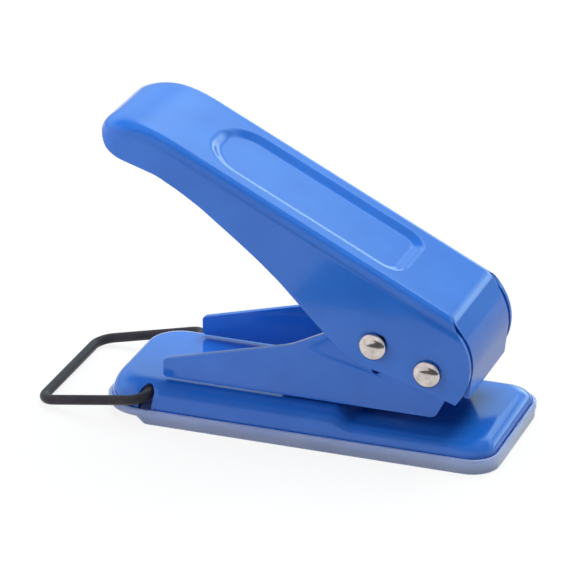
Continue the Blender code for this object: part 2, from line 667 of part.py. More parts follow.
def make_handle(material):
    # columns of points run up the near wall, across the top and down the far wall
    columns = [handle_column(NOSE_START, HANDLE_HALF_WIDTH, 0.0, k / 6) for k in range(6, 0, -1)]
    straight = HANDLE_LENGTH - HANDLE_END_CORNER + NOSE_START
    us = [NOSE_START - straight * share for share in (0.0, *HANDLE_ROW_SHARES, 1.0)]
    columns += [handle_column(u, HANDLE_HALF_WIDTH, 0.0, 0.0) for u in us]
    corner = HANDLE_END_CORNER
    for degrees in (18, 36, 54, 72, 90):
        a = math.radians(degrees)
        columns.append(handle_column(-HANDLE_LENGTH + corner - corner * math.sin(a),
                                     HANDLE_HALF_WIDTH - corner + corner * math.cos(a), a, 0.0))
    points, rows = [], []
    for column in columns:
        near = [(x, -y, v) for x, y, v in column]
        far = list(reversed(column[:-1]))
        rows.append(list(range(len(points), len(points) + len(near) + len(far))))
        points += near + far
    faces = []
    for front, back in zip(rows[:-1], rows[1:]):
        faces += [[front[k], front[k + 1], back[k + 1], back[k]] for k in range(len(front) - 1)]
    # the end wall between the last column's near and far walls
    last = rows[-1]
    size = len(last)
    edge = WALL_POINTS + 4
    for k in range(edge - 1):
        faces.append([last[k], last[k + 1], last[size - 2 - k], last[size - 1 - k]])
    faces.append(last[edge - 1:size - edge + 1])
    # the nose panel goes on from the top face's front row
    first = WALL_POINTS + 3
    row = rows[0][first:size - first]
    crease = [points[i] for i in row]
    narrow = NOSE_HALF_WIDTH / max(y for _, y, _ in crease)
    blend = 1.0
    for u, v in nose_profile():
        blend *= 0.4
        start = len(points)
        width = 1 + (narrow - 1) * min((HANDLE_TOP - v) / NOSE_NARROWING, 1.0)
        points += [(u, y * width, v + (z - HANDLE_TOP) * blend) for _, y, z in crease]
        fresh = list(range(start, len(points)))
        faces += [[row[k], fresh[k], fresh[k + 1], row[k + 1]] for k in range(len(row) - 1)]
        row = fresh
    handle = add_object("handle", closed_open_shell("handle", points, faces), material, 40)
    solidify(handle, HANDLE_SHEET)
    # holes: round for the pivot, and a slot along the punch pin's way as the handle turns
    reach = HANDLE_HALF_WIDTH + OVERRUN
    bore = round_bar("handle_pivot_bore", PIVOT_PIN_HOLE, -reach, reach, axis="Y", cutter=True)
    way = []
    for k in range(7):
        turn = HANDLE_TILT - HANDLE_SWING * k / 6
        way.append(to_handle(PUNCH_X, PIN_Z - PUNCH_STROKE * k / 6, turn))
    slot = extrude_outline("handle_pin_slot", swept_circle(way, PUNCH_PIN_HOLE), -reach, reach, cutter=True)
    combine_all(handle, [bore, slot], "DIFFERENCE")
    apply_modifiers(handle)
    handle.rotation_euler = (0, HANDLE_TILT, 0)
    handle.location = (PIVOT_X, 0, PIVOT_Z)
    return handle


def to_handle(x, z, tilt):
    # a place in the frame's side view, in the handle's own directions
    dx, dz = x - PIVOT_X, z - PIVOT_Z
    return (dx * math.cos(tilt) - dz * math.sin(tilt), dx * math.sin(tilt) + dz * math.cos(tilt))


def swept_circle(way, radius):
    # the convex outline round a circle in every place on its way
    places = sorted(p for x, z in way for p in arc(x, z, radius, 0, 345, 24))
    halves = []
    for run in (places, places[::-1]):
        chain = []
        for place in run:
            while len(chain) > 1 and cross(chain[-2], chain[-1], place) <= 0:
                chain.pop()
            chain.append(place)
        halves.append(chain[:-1])
    return halves[0] + halves[1]


def cross(start, middle, end):
    return ((middle[0] - start[0]) * (end[1] - start[1])
            - (middle[1] - start[1]) * (end[0] - start[0]))


def make_pin(name, x, z, radius, material):
    # a rivet with a domed head outside each handle wall
    seat = HANDLE_HALF_WIDTH + FIT_GAP
    dome = [(HEAD_RADIUS * math.cos(math.radians(a)),
             seat + HEAD_RIM + (HEAD_HEIGHT - HEAD_RIM) * math.sin(math.radians(a)))
            for a in (0, 18, 36, 54, 72)]
    far = [(radius, seat), (HEAD_RADIUS, seat)] + dome + [(0, seat + HEAD_HEIGHT)]
    profile = [(r, -h) for r, h in reversed(far)] + far
    return turned(name, profile, material, axis="Y", centre=(x, 0, z))


def make_punch(material):
    punch = round_bar("punch", PUNCH_RADIUS, PUNCH_TIP, PUNCH_TOP, centre=(PUNCH_X, 0, 0), material=material)
    cross = round_bar("punch_cross_hole", PUNCH_PIN_HOLE, -2 * PUNCH_RADIUS, 2 * PUNCH_RADIUS,
                      axis="Y", centre=(PUNCH_X, 0, PIN_Z), cutter=True)
    combine(punch, cross, "DIFFERENCE")
    wide = 2 * PUNCH_RADIUS
    notch = [(-wide, PUNCH_TIP - TIP_NOTCH), (wide, PUNCH_TIP - TIP_NOTCH), (0, PUNCH_TIP + TIP_NOTCH)]
    placed = [(PUNCH_X + a, b) for a, b in notch]
    combine(punch, extrude_outline("tip_notch", placed, -wide, wide, cutter=True), "DIFFERENCE")
    return punch


def make_spring(material):
    # one unbroken helix, with its ends closed in by a flatter pitch
    count = int(SPRING_TURNS * SPRING_POINTS_PER_TURN) + 1
    low = SPRING_BASE + SPRING_WIRE_RADIUS
    high = SPRING_BASE + SPRING_LENGTH - SPRING_WIRE_RADIUS
    shares = np.linspace(0, 1, count)
    climb = shares - SPRING_END_SHARE * np.sin(2 * np.pi * shares)
    angles = 2 * np.pi * SPRING_TURNS * shares
    points = np.stack([PUNCH_X + SPRING_RADIUS * np.cos(angles), SPRING_RADIUS * np.sin(angles),
                       low + (high - low) * climb], axis=1)
    turn = SPRING_POINTS_PER_TURN
    gaps = [np.linalg.norm(points[i] - points[j]) for i in range(count)
            for j in range(i + turn - 2, min(i + turn + 3, count))]
    print("least gap of the spring to itself, mm:", round((min(gaps) - 2 * SPRING_WIRE_RADIUS) * 1000, 2))
    return tube_along("return_spring", points, SPRING_WIRE_RADIUS, 1, material)


def tube_along(name, points, radius, resolution, material):
    curve = bpy.data.curves.new(name, "CURVE")
    curve.dimensions = "3D"
    curve.bevel_depth = radius
    curve.bevel_resolution = resolution
    curve.use_fill_caps = True
    spline = curve.splines.new("POLY")
    spline.points.add(len(points) - 1)
    for point, place in zip(spline.points, points):
        point.co = (*[float(c) for c in place], 1.0)
    curve.materials.append(material)
    thing = bpy.data.objects.new(name, curve)
    bpy.context.scene.collection.objects.link(thing)
    return thing


def bail_half_path():
    # the near half of the loop in its own plane: distance behind the hinge and sideways reach
    front, rear = BAIL_HALF_WIDTH_FRONT, BAIL_HALF_WIDTH_REAR
    corners = [(0.0, BAIL_END_HALF), (0.0, front), (BAIL_REACH, rear), (BAIL_REACH, 0.0)]
    path = [corners[0]]
    for corner, before, after, radius in ((corners[1], corners[0], corners[2], BAIL_BEND_FRONT),
                                          (corners[2], corners[1], corners[3], BAIL_BEND_REAR)):
        here = Vector(corner)
        to_before = (Vector(before) - here).normalized()
        to_after = (Vector(after) - here).normalized()
        half = to_before.angle(to_after) / 2
        run = radius / math.tan(half)
        start, end = here + to_before * run, here + to_after * run
        centre = here + (to_before + to_after).normalized() * (radius / math.sin(half))
        sweep = (start - centre).angle_signed(end - centre)
        for k in range(7):
            a = -sweep * k / 6
            arm = start - centre
            path.append((centre.x + arm.x * math.cos(a) - arm.y * math.sin(a),
                         centre.y + arm.x * math.sin(a) + arm.y * math.cos(a)))
    return path


def make_lock_wire(material):
    half = bail_half_path()
    near = [(BAIL_X - back * math.cos(BAIL_DROOP), -side, BAIL_Z - back * math.sin(BAIL_DROOP))
            for back, side in half]
    far = [(x, -y, z) for x, y, z in reversed(near)]
    # the loop sits a little to the near side, as far as its play in the slots lets it
    loop = [(x, y - BAIL_SIDE_PLAY, z) for x, y, z in near + far]
    return tube_along("lock_wire", loop, WIRE_RADIUS, 3, material)


def make_die(material):
    half_length, half_width = DIE_LENGTH / 2, DIE_WIDTH / 2
    corners = [(PUNCH_X - half_length, -half_width), (PUNCH_X + half_length, -half_width),
               (PUNCH_X + half_length, half_width), (PUNCH_X - half_length, half_width)]
    outline = round_corners(corners, [DIE_CORNER] * 4, 4)
    die = extrude_outline("die_plate", outline, DIE_TOP - DIE_THICKNESS, DIE_TOP, axes="XY", material=material)
    holes = [round_bar("die_bore", PUNCH_HOLE, 0, PIVOT_Z, centre=(PUNCH_X, 0, 0), cutter=True)]
    holes += [round_bar(f"die_rivet_bore_{k}", RIVET_RADIUS + BORE_GAP, 0, PIVOT_Z, centre=(x, y, 0),
                        cutter=True, sides=20)
              for k, (x, y) in enumerate(die_rivet_places())]
    combine_all(die, holes, "DIFFERENCE")
    return die


def make_rivet(name, x, y, low, high, material, flush=False):
    # a shank with a low round head under it, and one on top unless that end is flush
    head, rise = RIVET_HEAD_RADIUS, RIVET_HEAD_HEIGHT
    crown = [(head * share, height) for share, height in CROWN_SHARES]
    profile = [(r, low - FIT_GAP - rise * share) for r, share in reversed(crown)]
    profile += [(RIVET_RADIUS, low - FIT_GAP)]
    if flush:
        profile += [(RIVET_RADIUS, high), (0, high)]
    else:
        profile += [(RIVET_RADIUS, high + FIT_GAP)]
        profile += [(r, high + FIT_GAP + rise * share) for r, share in crown]
    return turned(name, profile, material, centre=(x, y, 0), sides=20)


def main():
    remove_everything()
    paint = make_material("blue_enamel", (0.05, 0.16, 0.62), 0.25)
    nickel = make_material("nickel_plate", (0.78, 0.76, 0.72), 0.18, 1.0)
    steel = make_material("hardened_steel", (0.45, 0.46, 0.48), 0.30, 1.0)
    black = make_material("black_oxide_wire", (0.03, 0.03, 0.03), 0.45)
    plastic = make_material("clear_plastic", (0.70, 0.74, 0.90), 0.25, 0.0, 0.5)
    zinc = make_material("zinc_plate", (0.60, 0.61, 0.62), 0.35, 1.0)

    make_tray(plastic)
    make_base_plate(paint)
    make_frame(paint)
    handle = make_handle(paint)
    handle.data.materials.clear()
    handle.data.materials.append(paint)

    wire = make_lock_wire(black)
    wire.data.transform(Matrix.Translation((-BAIL_X, 0, -BAIL_Z)))
    wire.location = (BAIL_X, 0, BAIL_Z)

    make_pin("pivot_pin", PIVOT_X, PIVOT_Z, PIVOT_PIN_RADIUS, nickel)
    make_pin("punch_pin", PUNCH_X, PIN_Z, PUNCH_PIN_RADIUS, nickel)
    inside = FRAME_INNER - FIT_GAP
    bore = PIVOT_PIN_RADIUS + BORE_GAP
    ring("pivot_sleeve", bore, bore + SLEEVE_WALL, -inside, inside, material=zinc, axis="Y",
         centre=(PIVOT_X, 0, PIVOT_Z), sides=24)
    low, high = FRAME_HALF_WIDTH + FIT_GAP, HANDLE_INNER - FIT_GAP
    for word, near, far in (("near", -high, -low), ("far", low, high)):
        ring(f"pivot_washer_{word}", bore, WASHER_RADIUS, near, far, material=zinc, axis="Y",
             centre=(PIVOT_X, 0, PIVOT_Z), sides=24)
        ring(f"punch_pin_washer_{word}", PUNCH_PIN_HOLE, WASHER_RADIUS * PIN_WASHER_SHARE, near, far, material=zinc,
             axis="Y", centre=(PUNCH_X, 0, PIN_Z), sides=24)
    start = PUNCH_RADIUS + FIT_GAP
    for word, near, far in (("near", -inside, -start), ("far", start, inside)):
        ring(f"punch_pin_sleeve_{word}", PUNCH_PIN_HOLE, PUNCH_PIN_HOLE + SLEEVE_WALL, near, far,
             material=zinc, axis="Y", centre=(PUNCH_X, 0, PIN_Z), sides=24)

    make_punch(steel)
    make_spring(zinc)
    ring("spring_washer", PUNCH_HOLE, SPRING_RADIUS + 2 * SPRING_WIRE_RADIUS, SEAT_BOTTOM, SEAT_TOP,
         material=zinc, centre=(PUNCH_X, 0, 0))
    ring("punch_guide", PUNCH_HOLE, GUIDE_RADIUS, FRAME_BOTTOM, WEB_TOP + GUIDE_RISE, material=steel,
         centre=(PUNCH_X, 0, 0))
    make_die(steel)
    for k, (x, y) in enumerate(frame_rivet_places()):
        make_rivet(f"frame_rivet_{k + 1}", x, y, BASE_REAR_TOP - BASE_SHEET, WEB_TOP, zinc)
    for k, (x, y) in enumerate(die_rivet_places()):
        make_rivet(f"die_rivet_{k + 1}", x, y, DIE_TOP - DIE_THICKNESS, BASE_FRONT_TOP, zinc, flush=True)


main()
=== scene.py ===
# Single hole punch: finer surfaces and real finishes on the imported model. Metres, +Z up, nose at +X.
import math

import bmesh
import bpy
import numpy as np
from mathutils import Matrix


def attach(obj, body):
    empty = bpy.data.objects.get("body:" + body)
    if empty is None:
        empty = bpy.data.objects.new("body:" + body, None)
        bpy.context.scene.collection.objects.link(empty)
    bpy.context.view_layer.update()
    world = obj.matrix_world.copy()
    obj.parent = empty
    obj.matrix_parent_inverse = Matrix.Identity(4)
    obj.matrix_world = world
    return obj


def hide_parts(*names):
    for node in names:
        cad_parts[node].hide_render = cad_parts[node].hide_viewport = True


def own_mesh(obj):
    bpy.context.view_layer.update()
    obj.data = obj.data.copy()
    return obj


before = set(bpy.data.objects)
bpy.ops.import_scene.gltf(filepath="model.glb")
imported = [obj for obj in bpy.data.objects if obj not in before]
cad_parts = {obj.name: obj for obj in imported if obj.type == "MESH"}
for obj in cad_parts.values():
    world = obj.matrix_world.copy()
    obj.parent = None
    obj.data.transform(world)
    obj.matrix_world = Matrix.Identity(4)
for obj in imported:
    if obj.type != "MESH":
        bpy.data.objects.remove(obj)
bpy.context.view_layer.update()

fitGap = 0.0003  # room between pieces that are set together
boreGap = 0.0003  # room round a pin in its hole
past = 0.002  # how far a cutter reaches beyond what it cuts


# Colours and nodes
def hexColour(text):
    # sRGB hex to linear red, green, blue and alpha
    channels = np.array([int(text[i:i + 2], 16) for i in (0, 2, 4)]) / 255
    linear = np.where(channels <= 0.04045, channels / 12.92, ((channels + 0.055) / 1.055) ** 2.4)
    return (*linear.tolist(), 1.0)


def addNode(tree, kind, values=None, links=None, **settings):
    # one node with its settings, its fixed inputs and the outputs that feed it
    node = tree.nodes.new(kind)
    for key, value in settings.items():
        setattr(node, key, value)
    for key, value in (values or {}).items():
        node.inputs[key].default_value = value
    for key, output in (links or {}).items():
        tree.links.new(output, node.inputs[key])
    return node


noiseSpan = (0.3, 0.7)  # nearly all of a noise's values lie between these


def mottled(tree, place, size, low, high, detail=3.0):
    # a noise of a given patch size in metres, its usual span spread between two factors
    noise = addNode(tree, "ShaderNodeTexNoise", {"Scale": 1 / size, "Detail": detail}, {"Vector": place})
    spread = {"From Min": noiseSpan[0], "From Max": noiseSpan[1], "To Min": low, "To Max": high}
    return addNode(tree, "ShaderNodeMapRange", spread, {"Value": noise.outputs["Fac"]}).outputs["Result"]


def patchyFinish(name, look, patch, grain, detail=2.0, **settings):
    # two colours mixed by a noise of soft patches, over a bump from a fine noise; where the look has a
    # low and a high roughness, the gloss follows the same patches; settings are inputs of the shader,
    # with an underscore for each space
    material = bpy.data.materials.new(name)
    material.use_nodes = True
    tree = material.node_tree
    shader = tree.nodes["Principled BSDF"]
    place = addNode(tree, "ShaderNodeTexCoord").outputs["Object"]
    mix = addNode(tree, "ShaderNodeMix", {"A": hexColour(look["dark"]), "B": hexColour(look["light"])},
                  {"Factor": mottled(tree, place, look[patch], 0.0, 1.0)}, data_type="RGBA")
    tree.links.new(mix.outputs["Result"], shader.inputs["Base Color"])
    if "low" in look:
        gloss = mottled(tree, place, look[patch], look["low"], look["high"])
        tree.links.new(gloss, shader.inputs["Roughness"])
    fine = addNode(tree, "ShaderNodeTexNoise", {"Scale": 1 / look[grain], "Detail": detail},
                   {"Vector": place})
    bump = addNode(tree, "ShaderNodeBump",
                   {"Strength": look[grain + "Strength"], "Distance": look[grain + "Depth"]},
                   {"Height": fine.outputs["Fac"]})
    tree.links.new(bump.outputs["Normal"], shader.inputs["Normal"])
    for key, value in settings.items():
        shader.inputs[key.replace("_", " ")].default_value = value
    return material


# Finishes: colours as sRGB hex, sizes and depths in metres
enamelLook = {"dark": "2067C9", "light": "266FD2", "roughness": 0.13, "ior": 1.5, "cloud": 0.014,
              "peel": 0.0011, "peelStrength": 0.10, "peelDepth": 0.00002, "coat": 0.25,
              "coatRoughness": 0.05}
nickelLook = {"dark": "C6BDB9", "light": "E2DAD7", "low": 0.09, "high": 0.17, "tarnish": 0.0016,
              "dent": 0.0022, "dentStrength": 0.05, "dentDepth": 0.00006}
wireLook = {"dark": "2A282D", "light": "3A373C", "low": 0.36, "high": 0.48, "ior": 1.3,
            "blotch": 0.003, "grain": 0.0004, "grainStrength": 0.20, "grainDepth": 0.00003}
trayLook = {"dark": "BCD0FC", "light": "CEDDFF", "roughness": 0.28, "ior": 1.49, "transmission": 0.55,
            "cloud": 0.012, "flow": 0.004, "flowStrength": 0.08, "flowDepth": 0.0001}
zincLook = {"dark": "9DA3A8", "light": "C6CBCF", "low": 0.26, "high": 0.42, "spangle": 0.0012,
            "grain": 0.0003, "grainStrength": 0.15, "grainDepth": 0.00002}
steelLook = {"dark": "8A8D91", "light": "A9ACB0", "low": 0.22, "high": 0.36, "stain": 0.002,
             "grind": 0.0005, "grindStrength": 0.20, "grindDepth": 0.00002}


def stoveEnamel():
    # baked enamel sprayed on pressed steel: glossy, slightly pebbled, nearly even in colour
    look = enamelLook
    return patchyFinish("stove_enamel_blue", look, "cloud", "peel", detail=1.0, Roughness=look["roughness"],
                        IOR=look["ior"], Coat_Weight=look["coat"], Coat_Roughness=look["coatRoughness"])


def nickelPlate():
    # nickel-plated rivets, peened over: warm white metal with soft hammer marks
    return patchyFinish("nickel_plate_peened", nickelLook, "tarnish", "dent", Metallic=1.0)


def zincPlate():
    # bright zinc on the small turned parts: bluish grey with fine spangles
    return patchyFinish("zinc_plate_turned", zincLook, "spangle", "grain", Metallic=1.0)


def hardenedSteel():
    # hardened and ground tool steel: grey, with grinding marks that are drawn coarser than real ones, to show
    return patchyFinish("tool_steel_ground", steelLook, "stain", "grind", Metallic=1.0)


def blackWire():
    # steel wire with a black dip coating: charcoal, half matt
    return patchyFinish("wire_black_dipped", wireLook, "blotch", "grain", IOR=wireLook["ior"])


def frostedPlastic():
    # moulded natural polypropylene: milky and bluish, light passes through it softly
    look = trayLook
    return patchyFinish("polypropylene_moulded_milky", look, "cloud", "flow", detail=1.0,
                        Roughness=look["roughness"], Transmission_Weight=look["transmission"],
                        IOR=look["ior"])


enamel, nickel, zinc, steel = stoveEnamel(), nickelPlate(), zincPlate(), hardenedSteel()
black, milky = blackWire(), frostedPlastic()
print("finishes made")


# Surfaces
mergeDistance, shortestEdge = 0.000002, 0.0000005
arcCount = 16  # points on an arc, unless a call says otherwise


def putInScene(name, data):
    # an object round a mesh, a lamp or a camera, at the origin until it is placed
    thing = bpy.data.objects.new(name, data)
    bpy.context.scene.collection.objects.link(thing)
    return thing


def gridFaces(rows, columns, wrap=False, start=0):
    # quads between neighbouring rows and columns of points numbered row by row
    i = np.arange(rows - 1)[:, None]
    j = np.arange(columns if wrap else columns - 1)[None, :]
    after = (j + 1) % columns
    low, high = i * columns, (i + 1) * columns
    return (np.stack([low + j, low + after, high + after, high + j], axis=-1) + start).reshape(-1, 4)


def newSurface(name, patches, loops=(), closed=True):
    # joins grids of points into one mesh; a patch is (points as rows x columns x 3, wrap round or not),
    # a loop is one flat face, and a skin that isn't closed is turned so that its highest face looks up
    points, faces, count = [], [], 0
    for grid, wrap in patches:
        rows, columns = grid.shape[:2]
        points.append(grid.reshape(-1, 3))
        faces += gridFaces(rows, columns, wrap, count).tolist()
        count += rows * columns
    for loop in loops:
        points.append(loop)
        faces.append(list(range(count, count + len(loop))))
        count += len(loop)
    mesh = bpy.data.meshes.new(name)
    mesh.from_pydata(np.concatenate(points).tolist(), [], faces)
    work = bmesh.new()
    work.from_mesh(mesh)
    bmesh.ops.remove_doubles(work, verts=work.verts, dist=mergeDistance)
    bmesh.ops.dissolve_degenerate(work, edges=work.edges, dist=shortestEdge)
    bmesh.ops.recalc_face_normals(work, faces=work.faces)
    highest = max(work.faces, key=lambda face: face.calc_center_median().z)
    if not closed and highest.normal.z < 0:
        bmesh.ops.reverse_faces(work, faces=work.faces)
    work.to_mesh(mesh)
    work.free()
    return putInScene(name, mesh)


def applyAll(thing):
    # the mesh as its modifiers leave it takes their place
    graph = bpy.context.evaluated_depsgraph_get()
    done = bpy.data.meshes.new_from_object(thing.evaluated_get(graph))
    thing.modifiers.clear()
    thing.data = done


def thicken(thing, thickness):
    # a skin gets a wall of even thickness on its inner side
    wall = thing.modifiers.new("wall", "SOLIDIFY")
    wall.thickness = thickness
    wall.offset = -1.0
    wall.use_even_offset = True
    applyAll(thing)


def cutAway(thing, cutters, operation="DIFFERENCE"):
    # all cutters are joined into one mesh, used once and removed
    work = bmesh.new()
    for cutter in cutters:
        work.from_mesh(cutter.data)
        bpy.data.objects.remove(cutter, do_unlink=True)
    mesh = bpy.data.meshes.new("cutters")
    work.to_mesh(mesh)
    work.free()
    joined = putInScene("cutters", mesh)
    cut = thing.modifiers.new("cut", "BOOLEAN")
    cut.object = joined
    cut.operation = operation
    cut.solver = "EXACT"
    applyAll(thing)
    bpy.data.objects.remove(joined, do_unlink=True)


def roundEdges(thing, width, segments=3, limitDeg=30):
    # a narrow round along each edge that bends by more than the limit
    bevel = thing.modifiers.new("edges", "BEVEL")
    bevel.width = width
    bevel.segments = segments
    bevel.limit_method = "ANGLE"
    bevel.angle_limit = math.radians(limitDeg)
    bevel.use_clamp_overlap = True
    applyAll(thing)


def finishPiece(thing, material, slot, body, *nodes, smoothDeg=42):
    # smooth shading, finish, the body that it rides on and the nodes that it stands for
    thing.data.materials.clear()
    thing.data.materials.append(material)
    thing.data.shade_smooth()
    thing.data.set_sharp_from_angle(angle=math.radians(smoothDeg))
    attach(thing, body)
    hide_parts(*nodes)
    print("made", thing.name, len(thing.data.polygons), "faces")


def arcPoints(cx, cz, radius, startDeg, endDeg, count=arcCount):
    # points on a circle between two angles
    angles = np.radians(np.linspace(startDeg, endDeg, count))
    return np.stack([cx + radius * np.cos(angles), cz + radius * np.sin(angles)], axis=1)


def roundedOutline(corners, radii, count=10):
    # a polygon whose corners are each replaced by an arc that touches both sides
    corners = np.array(corners, float)
    outline = []
    for k, radius in enumerate(radii):
        here = corners[k]
        before = corners[k - 1] - here
        after = corners[(k + 1) % len(corners)] - here
        before /= np.linalg.norm(before)
        after /= np.linalg.norm(after)
        if radius == 0:
            outline.append(here[None])
            continue
        half = math.acos(float(np.clip(before @ after, -1, 1))) / 2
        middle = (before + after) / np.linalg.norm(before + after)
        centre = here + middle * radius / math.sin(half)
        first = here + before * radius / math.tan(half) - centre
        last = here + after * radius / math.tan(half) - centre
        turn = math.atan2(first[0] * last[1] - first[1] * last[0], first @ last)
        angles = np.linspace(0, turn, count)[:, None]
        side = np.array([-first[1], first[0]])
        outline.append(centre + first * np.cos(angles) + side * np.sin(angles))
    return np.concatenate(outline)


def extruded(name, outline, low, high, axes="XZ"):
    # a flat outline carried along the third axis, with both ends closed
    order = {"XZ": (0, 2, 1), "XY": (0, 1, 2), "YZ": (1, 2, 0)}[axes]
    ends = np.zeros((2, len(outline), 3))
    ends[:, :, order[0]] = outline[:, 0]
    ends[:, :, order[1]] = outline[:, 1]
    ends[0, :, order[2]], ends[1, :, order[2]] = low, high
    return newSurface(name, [(ends, True)], [ends[0], ends[1]])


def turned(name, profile, centre, axis="Z", sides=64):
    # a profile of (radius, height) carried round an axis; a radius of zero is a pole, else it is a ring
    profile = np.array(profile, float)
    if profile[0, 0] > 0:
        profile = np.concatenate([profile, profile[:1]])
    angles = np.linspace(0, 2 * np.pi, sides, endpoint=False)
    radius, height = profile[:, :1], profile[:, 1:]
    grid = np.stack([radius * np.cos(angles), radius * np.sin(angles),
                     np.broadcast_to(height, (len(profile), sides))], axis=-1)
    if axis == "Y":
        grid = grid[..., [0, 2, 1]]
    return newSurface(name, [(grid + np.array(centre), True)])


def roundBar(name, radius, low, high, centre, axis="Z", sides=48):
    # a cylinder: the profile goes out from the axis, along the side and back in
    return turned(name, [(0, low), (radius, low), (radius, high), (0, high)], centre, axis, sides)


def tubeAlong(name, path, radius, sides=20, capRings=5):
    # a circle carried along a path on frames that turn as little as they can, with round ends that
    # reach a radius beyond it
    tangent = np.gradient(path, axis=0)
    tangent /= np.linalg.norm(tangent, axis=1, keepdims=True)
    side = np.zeros_like(path)
    leaning = [0.0, 0.31, 1.0]  # any direction that the path doesn't start in
    start = np.cross(tangent[0], leaning)
    side[0] = start / np.linalg.norm(start)
    for k in range(1, len(path)):
        carried = side[k - 1] - tangent[k] * (side[k - 1] @ tangent[k])
        side[k] = carried / np.linalg.norm(carried)
    angles = np.linspace(0, np.pi / 2, capRings + 1)
    sizes = np.concatenate([np.sin(angles)[:-1], np.ones(len(path)), np.sin(angles)[:-1][::-1]]) * radius
    shift = np.concatenate([-np.cos(angles)[:-1], np.zeros(len(path)), np.cos(angles)[:-1][::-1]]) * radius
    index = np.concatenate([np.zeros(capRings, int), np.arange(len(path)),
                            np.full(capRings, len(path) - 1)])
    centre = path[index] + tangent[index] * shift[:, None]
    up = np.cross(tangent, side)
    turn = np.linspace(0, 2 * np.pi, sides, endpoint=False)
    grid = (centre[:, None] + sizes[:, None, None]
            * (side[index][:, None] * np.cos(turn)[:, None] + up[index][:, None] * np.sin(turn)[:, None]))
    return newSurface(name, [(grid, True)])


# Base plate and tray share a rounded oblong
# a run says where rows stand along its sides: from and to, as shares of the half length, and how many
trayShape = {"length": 0.102, "width": 0.043, "height": 0.0038, "band": 0.0018, "wall": 0.0008,
             "floor": 0.0009, "frontCorner": 0.0070, "rearCorner": 0.0110, "step": 0.0003,
             "heel": 0.0095, "heelSlope": 0.0022, "heelCorner": 0.0020, "bandRise": 0.0006,
             "edge": 0.00018, "sideRunShares": (-0.62, 0.72, 22), "across": 12}
baseShape = {"sheet": 0.0012, "rearTop": 0.0094, "frontTop": 0.0068, "skirtRise": 0.0010,
             "stepRear": 0.0085, "stepLength": 0.0065, "sideSweep": 1.35, "rearSweep": 0.60,
             "frontSweep": 1.30, "topFrontCorner": 0.0045, "topRearCorner": 0.0065,
             "boss": 0.0005, "bossRadius": 0.0042, "edge": 0.00015, "levels": 22, "across": 30,
             "rearRunShares": (-0.78, 0.14, 24), "frontRunShares": (0.33, 0.80, 14), "stepRows": 20}
halfLength, halfWidth = trayShape["length"] / 2, trayShape["width"] / 2
ledgeTop = trayShape["height"] - trayShape["band"] + trayShape["floor"] / 2
skirtBottom = ledgeTop + fitGap
skirtTop = skirtBottom + baseShape["skirtRise"]
skirtHalfLength = halfLength - trayShape["wall"] - fitGap
skirtHalfWidth = halfWidth - trayShape["wall"] - fitGap
skirtFrontCorner = trayShape["frontCorner"] - trayShape["wall"] - fitGap
skirtRearCorner = trayShape["rearCorner"] - trayShape["wall"] - fitGap


def oblongHalf(rear, front, wide, rearCorner, frontCorner, stations):
    # the near half of the outline, from the rear to the front: an arc, a straight and an arc
    straight = np.stack([stations, np.full(len(stations), -wide)], axis=1)
    return np.concatenate([arcPoints(rear + rearCorner, -wide + rearCorner, rearCorner, 180, 270), straight,
                           arcPoints(front - frontCorner, -wide + frontCorner, frontCorner, 270, 360)])


def closedLoop(half):
    # the near half and its mirror image, as one loop
    return np.concatenate([half, half[::-1] * np.array([1, -1, 1])])


def fillAcross(half, count):
    # straight lines from each near point to its far twin
    shares = np.linspace(1, -1, count)[:, None, None]
    return half[None] * np.concatenate([np.ones_like(shares), shares, np.ones_like(shares)], axis=2)


def stepHeight(x):
    # the plate's top falls in half a cosine wave from the rear level to the front level
    shape = baseShape
    share = np.clip((x - shape["stepRear"]) / shape["stepLength"], 0, 1)
    return shape["rearTop"] + (shape["frontTop"] - shape["rearTop"]) * (1 - np.cos(np.pi * share)) / 2


